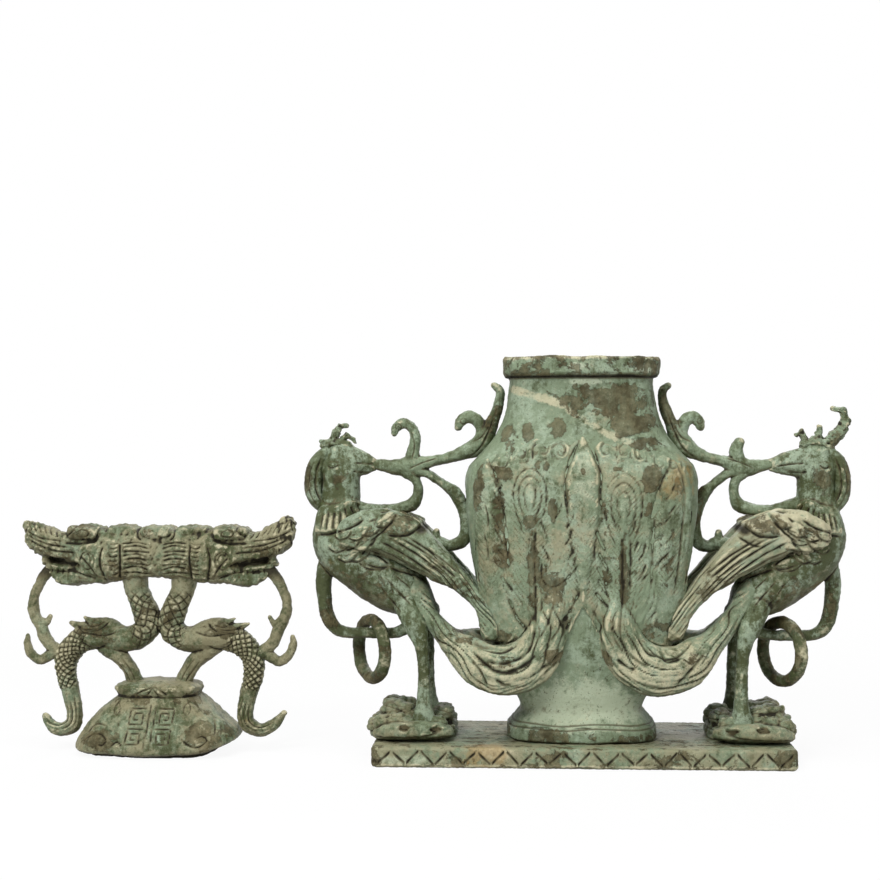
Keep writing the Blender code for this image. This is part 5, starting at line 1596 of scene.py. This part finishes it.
class JADE_OT_dragons(bpy.types.Operator):
    """Carves the dragons' scaled coils and the streams that run from their mouths"""

    bl_idname = "jade.dragons"
    bl_label = "Dragons and streams"

    def execute(self, context):
        coils, streams = [], []
        for side in SIDES:
            put = on_cover(side)
            coils += [limb(row, put) for row in ((*COIL, *TAIL_END[side]), *DRAGON_LIMBS)]
            streams += [limb(row, put) for row in STREAM]
        skin = Skin(rough_out("dragons_skin", 0.93, 3, coils))
        cover_places(skin)
        skin.rise = skin.waves((0.4, 9, 101), (0.15, 3.5, 103))
        skin.scales(BODY_SPINE, BODY_WIDTHS, 6.6, 1.0, (0.05, 0.3))
        skin.scales(BODY_SPINE, BODY_WIDTHS, 4.4, 1.0, (0.45, 0.72), bead=0.5)
        skin.strands(BODY_SPINE, BODY_WIDTHS, 4, 0.9, (0.72, 1.0), dark=0.7)
        skin.grooves(HAUNCH_CUTS, soft=1.6)
        skin.settle_on("crust", [(45, 86, 12, 7, 0.7), (30, 78, 8, 6, 0.5), (12, 95, 9, 10, 0.4)])
        skin.settle_on("worn", [(50, 88, 12, 5, 0.5)])
        nodes = [f"dragon_{side}" for side in SIDES]
        skin.finish("dragon_jade", "cover", nodes)
        stream = Skin(rough_out("streams_skin", 0.75, 3, streams))
        stream.rise = stream.waves((0.3, 8, 102), (0.15, 3, 104))
        stream.cut = 0.7 * smooth_step(stream.place[:, 2], 116, 128)
        nodes = [f"dragon_stream_{side}" for side in SIDES]
        stream.finish("dragon_jade", "cover", nodes)
        return {"FINISHED"}


HAUNCH_CUTS = (
    (1.1, 1.3, [(27, 85), (38, 82), (50, 84), (58, 84)]),
    (1.0, 1.1, [(35, 91), (42, 86), (52, 85)]),
    (1.1, 1.3, [(36, 75), (44, 72), (52, 76), (54, 82)]),
    (0.9, 1.0, [(40, 90), (47, 88.5), (53, 91)]),
    (0.9, 1.0, [(44, 87), (52, 86.5), (60, 88.5)]),
    (0.8, 0.8, [(26, 66), (20, 58), (16, 50)]),
    (0.8, 0.8, [(30, 64), (24, 56), (19.5, 49)]),
)


class JADE_OT_dragon_heads(bpy.types.Operator):
    """Carves the dragons' heads: snout, open mouth, brow, eye and combed mane"""

    bl_idname = "jade.dragon_heads"
    bl_label = "Dragon heads"

    def execute(self, context):
        limbs = []
        for side in SIDES:
            put = on_cover(side)
            limbs += [limb(row, put, corner=3.2) for row in ((*SKULL, *SKULLS[side]), *HEAD_LIMBS)]
        skin = Skin(rough_out("dragon_heads_skin", 0.85, 3, limbs))
        cover_places(skin)
        x = skin.place[:, 0] - COVER_PLACE
        skin.facing = np.clip(skin.facing + 0.6 * (np.abs(skin.normal[:, 2]) > 0.4), 0, 1)
        skin.rise = skin.waves((0.55, 8, 111), (0.4, 3.2, 112))
        skin.rise += 0.8 * drift(skin.place, 4, 113) * smooth_step(skin.flat[:, 0], 80, 90)
        skin.raised([(26, 121), (36, 122), (37, 147), (26, 147)], 1.0, 1.2)
        skin.raised([(40, 124), (54, 128), (56, 142), (42, 146)], 1.4, 2.0)
        for row, level in enumerate(HEAD_MANE):
            sway = 0.8 * math.sin(2.3 * row)
            skin.groove([(5, level - 1.2), (13, level + 0.4 + sway), (23, level - 0.4)], 1.0, 1.5, 0.8)
            skin.groove([(25.5, level), (29, level - 1.2), (31.5, level - 0.6)], 0.8, 1.1, 0.75)
        skin.oval((51, 154), (4.2, 2.8), 0.9, 1.1, 0.8)
        skin.oval((47.5, 135), (5.2, 6.0), 0.9, 1.0, 0.6)
        skin.groove([(50, 138), (47, 139.5), (44.5, 136), (46.5, 132.5), (49, 134)], 0.8, 0.9, 0.6)
        skin.grooves(DRAGON_HEAD_CUTS, soft=1.5)
        for step in range(6):
            at = 55 + 4.0 * step
            skin.groove([(at, 128.5), (at + 1, 125.5)], 0.7, 0.8, 0.5)
        for step in range(7):
            at = 66 + 4.0 * step
            skin.groove([(at, 150 + step), (at + 3, 155 + 1.3 * step)], 0.8, 1.1, 0.7)
        skin.settle_on("worn", [(48, 136, 14, 9, 0.6), (75, 148, 20, 7, 0.55), (5, 154, 5, 5, 0.9)])
        skin.settle_on("crust", [(52, 155, 12, 6, 0.6), (20, 130, 14, 14, 0.4), (72, 140, 14, 6, 0.5)])
        rough = drift(skin.place, 2.6, 115)
        skin.at_least("cut", np.where(x > 84, 0.75 * smooth_step(rough, 0.1, 0.7), 0))
        nodes = [f"dragon_head_{side}" for side in SIDES]
        skin.finish("dragon_jade", "cover", nodes)
        return {"FINISHED"}


SKULL = (
    (0, 140, 17.5, 15), (14, 139.5, 18, 16), (32, 138.5, 18.5, 17), (47, 139.5, 18, 16),
    (59, 144, 11.5, 13.5), (72, 144.5, 10.2, 12),
)


class JADE_OT_stage(bpy.types.Operator):
    """Sets up the floor and backdrop, the soft light and the camera"""

    bl_idname = "jade.stage"
    bl_label = "Stage"

    def execute(self, context):
        scene = context.scene
        scene.view_settings.view_transform = "Standard"
        start_fresh()
        bpy.ops.mesh.primitive_plane_add(size=1.0)
        floor = context.object
        floor.name = "floor"
        on_every_point(bpy.ops.transform.resize, value=(FLOOR_SPAN, FLOOR_SPAN, 1.0))
        paper = Finish("pale_paper")
        seen = sum(paper.node("ShaderNodeLightPath", out=f"Is {kind} Ray") for kind in SEEN_BY)
        plain = paper.node("ShaderNodeBsdfDiffuse", None, {"Color": (*scene.jade_colours.floor, 1.0)})
        lit = paper.node("ShaderNodeEmission", None, {"Color": (1.0, 1.0, 1.0, 1.0), "Strength": 1.0})
        far = paper.node("ShaderNodeVectorMath", {"operation": "LENGTH"}, {0: paper.spot}, "Value")
        white = seen * (paper.step(far, *FLOOR_FADE) * (1 - FLOOR_WHITE) + FLOOR_WHITE)
        mixed = paper.node("ShaderNodeMixShader", None, {0: white, 1: plain, 2: lit})
        paper.node("ShaderNodeOutputMaterial", None, {"Surface": mixed})
        floor.data.materials.append(paper.material)
        self.light(scene)
        self.camera(scene)
        return {"FINISHED"}

    def light(self, scene):
        """A white surround that lights little, and four soft lamps."""
        world = bpy.data.worlds.new("studio")
        scene.world = world
        world.use_nodes = True
        sky = Finish.of(world.node_tree)
        seen = sum(sky.node("ShaderNodeLightPath", out=f"Is {kind} Ray") for kind in SEEN_BY)
        sockets = {"Color": (1.0, 1.0, 1.0, 1.0), "Strength": seen * (1.0 - AMBIENT) + AMBIENT}
        back = sky.node("ShaderNodeBackground", None, sockets)
        sky.node("ShaderNodeOutputWorld", None, {"Surface": back})
        for name, place, aim, size, power in LAMPS:
            lamp = bpy.data.lights.new(name, "AREA")
            lamp.shape = "DISK"
            lamp.size = size
            lamp.energy = power
            holder = bpy.data.objects.new(name, lamp)
            scene.collection.objects.link(holder)
            holder.location = place
            way = np.array(aim) - np.array(place)
            flat = math.hypot(way[0], way[1])
            holder.rotation_euler = (math.atan2(flat, -way[2]), 0.0, math.atan2(-way[0], way[1]))

    def camera(self, scene):
        """The camera that stands where the photo's did."""
        view = bpy.data.cameras.new("camera")
        view.sensor_width = SENSOR
        view.lens = FOCAL / PICTURE * SENSOR
        view.shift_y = 2 / PICTURE
        view.clip_start = 0.05
        view.clip_end = 60.0
        holder = bpy.data.objects.new("camera", view)
        scene.collection.objects.link(holder)
        holder.location = CAMERA_PLACE
        holder.rotation_euler = (math.radians(90), 0.0, math.radians(CAMERA_TURN))
        scene.camera = holder


FLOOR_SPAN = 14.0
FLOOR_FADE = (0.45, 1.1)
FLOOR_WHITE = 0.93
CAMERA_PLACE = (-0.035, -1.2, 0.218)
CAMERA_TURN = 3.03
PICTURE, FOCAL, SENSOR = 880, 1714, 36.0
SEEN_BY = ("Camera", "Glossy", "Transmission")
AMBIENT = 0.16
LAMPS = (
    ("top", (-0.15, -0.4, 1.7), (-0.1, 0.0, 0.1), 1.2, 21.5),
    ("key", (-0.9, -1.6, 1.4), (-0.1, 0.0, 0.12), 0.7, 32.0),
    ("fill", (1.3, -1.2, 0.7), (0.0, 0.0, 0.12), 1.0, 6.0),
    ("rim", (0.3, 1.5, 1.2), (-0.1, 0.0, 0.12), 1.0, 14.0),
)


class JADE_PT_panel(bpy.types.Panel):
    """Lists the pieces and their colours and sizes"""

    bl_idname = "JADE_PT_panel"
    bl_label = "Jade vessel"
    bl_space_type = "VIEW_3D"
    bl_region_type = "UI"
    bl_category = "Jade vessel"

    def draw(self, context):
        for group in (context.scene.jade_colours, context.scene.carving_sizes):
            column = self.layout.column()
            for key in group.__annotations__:
                column.prop(group, key)
        for kind in OPERATORS:
            self.layout.operator(kind.bl_idname)


OPERATORS = (
    JADE_OT_stage,
    JADE_OT_plinth,
    JADE_OT_vase,
    JADE_OT_plumes,
    JADE_OT_wings,
    JADE_OT_birds,
    JADE_OT_head_feathers,
    JADE_OT_sprays,
    JADE_OT_rocks,
    JADE_OT_rings,
    JADE_OT_cover,
    JADE_OT_dragons,
    JADE_OT_dragon_heads,
)
CLASSES = (JadeColours, CarvingSizes, *OPERATORS, JADE_PT_panel)


def register():
    for kind in CLASSES:
        bpy.utils.register_class(kind)
    bpy.types.Scene.jade_colours = bpy.props.PointerProperty(type=JadeColours)
    bpy.types.Scene.carving_sizes = bpy.props.PointerProperty(type=CarvingSizes)


def unregister():
    del bpy.types.Scene.carving_sizes
    del bpy.types.Scene.jade_colours
    for kind in reversed(CLASSES):
        bpy.utils.unregister_class(kind)


def main():
    register()
    bpy.ops.jade.stage()
    bpy.ops.jade.plinth()
    bpy.ops.jade.vase()
    bpy.ops.jade.plumes()
    bpy.ops.jade.wings()
    bpy.ops.jade.birds()
    bpy.ops.jade.head_feathers()
    bpy.ops.jade.sprays()
    bpy.ops.jade.rocks()
    bpy.ops.jade.rings()
    bpy.ops.jade.cover()
    bpy.ops.jade.dragons()
    bpy.ops.jade.dragon_heads()


if __name__ == "__main__":
    main()
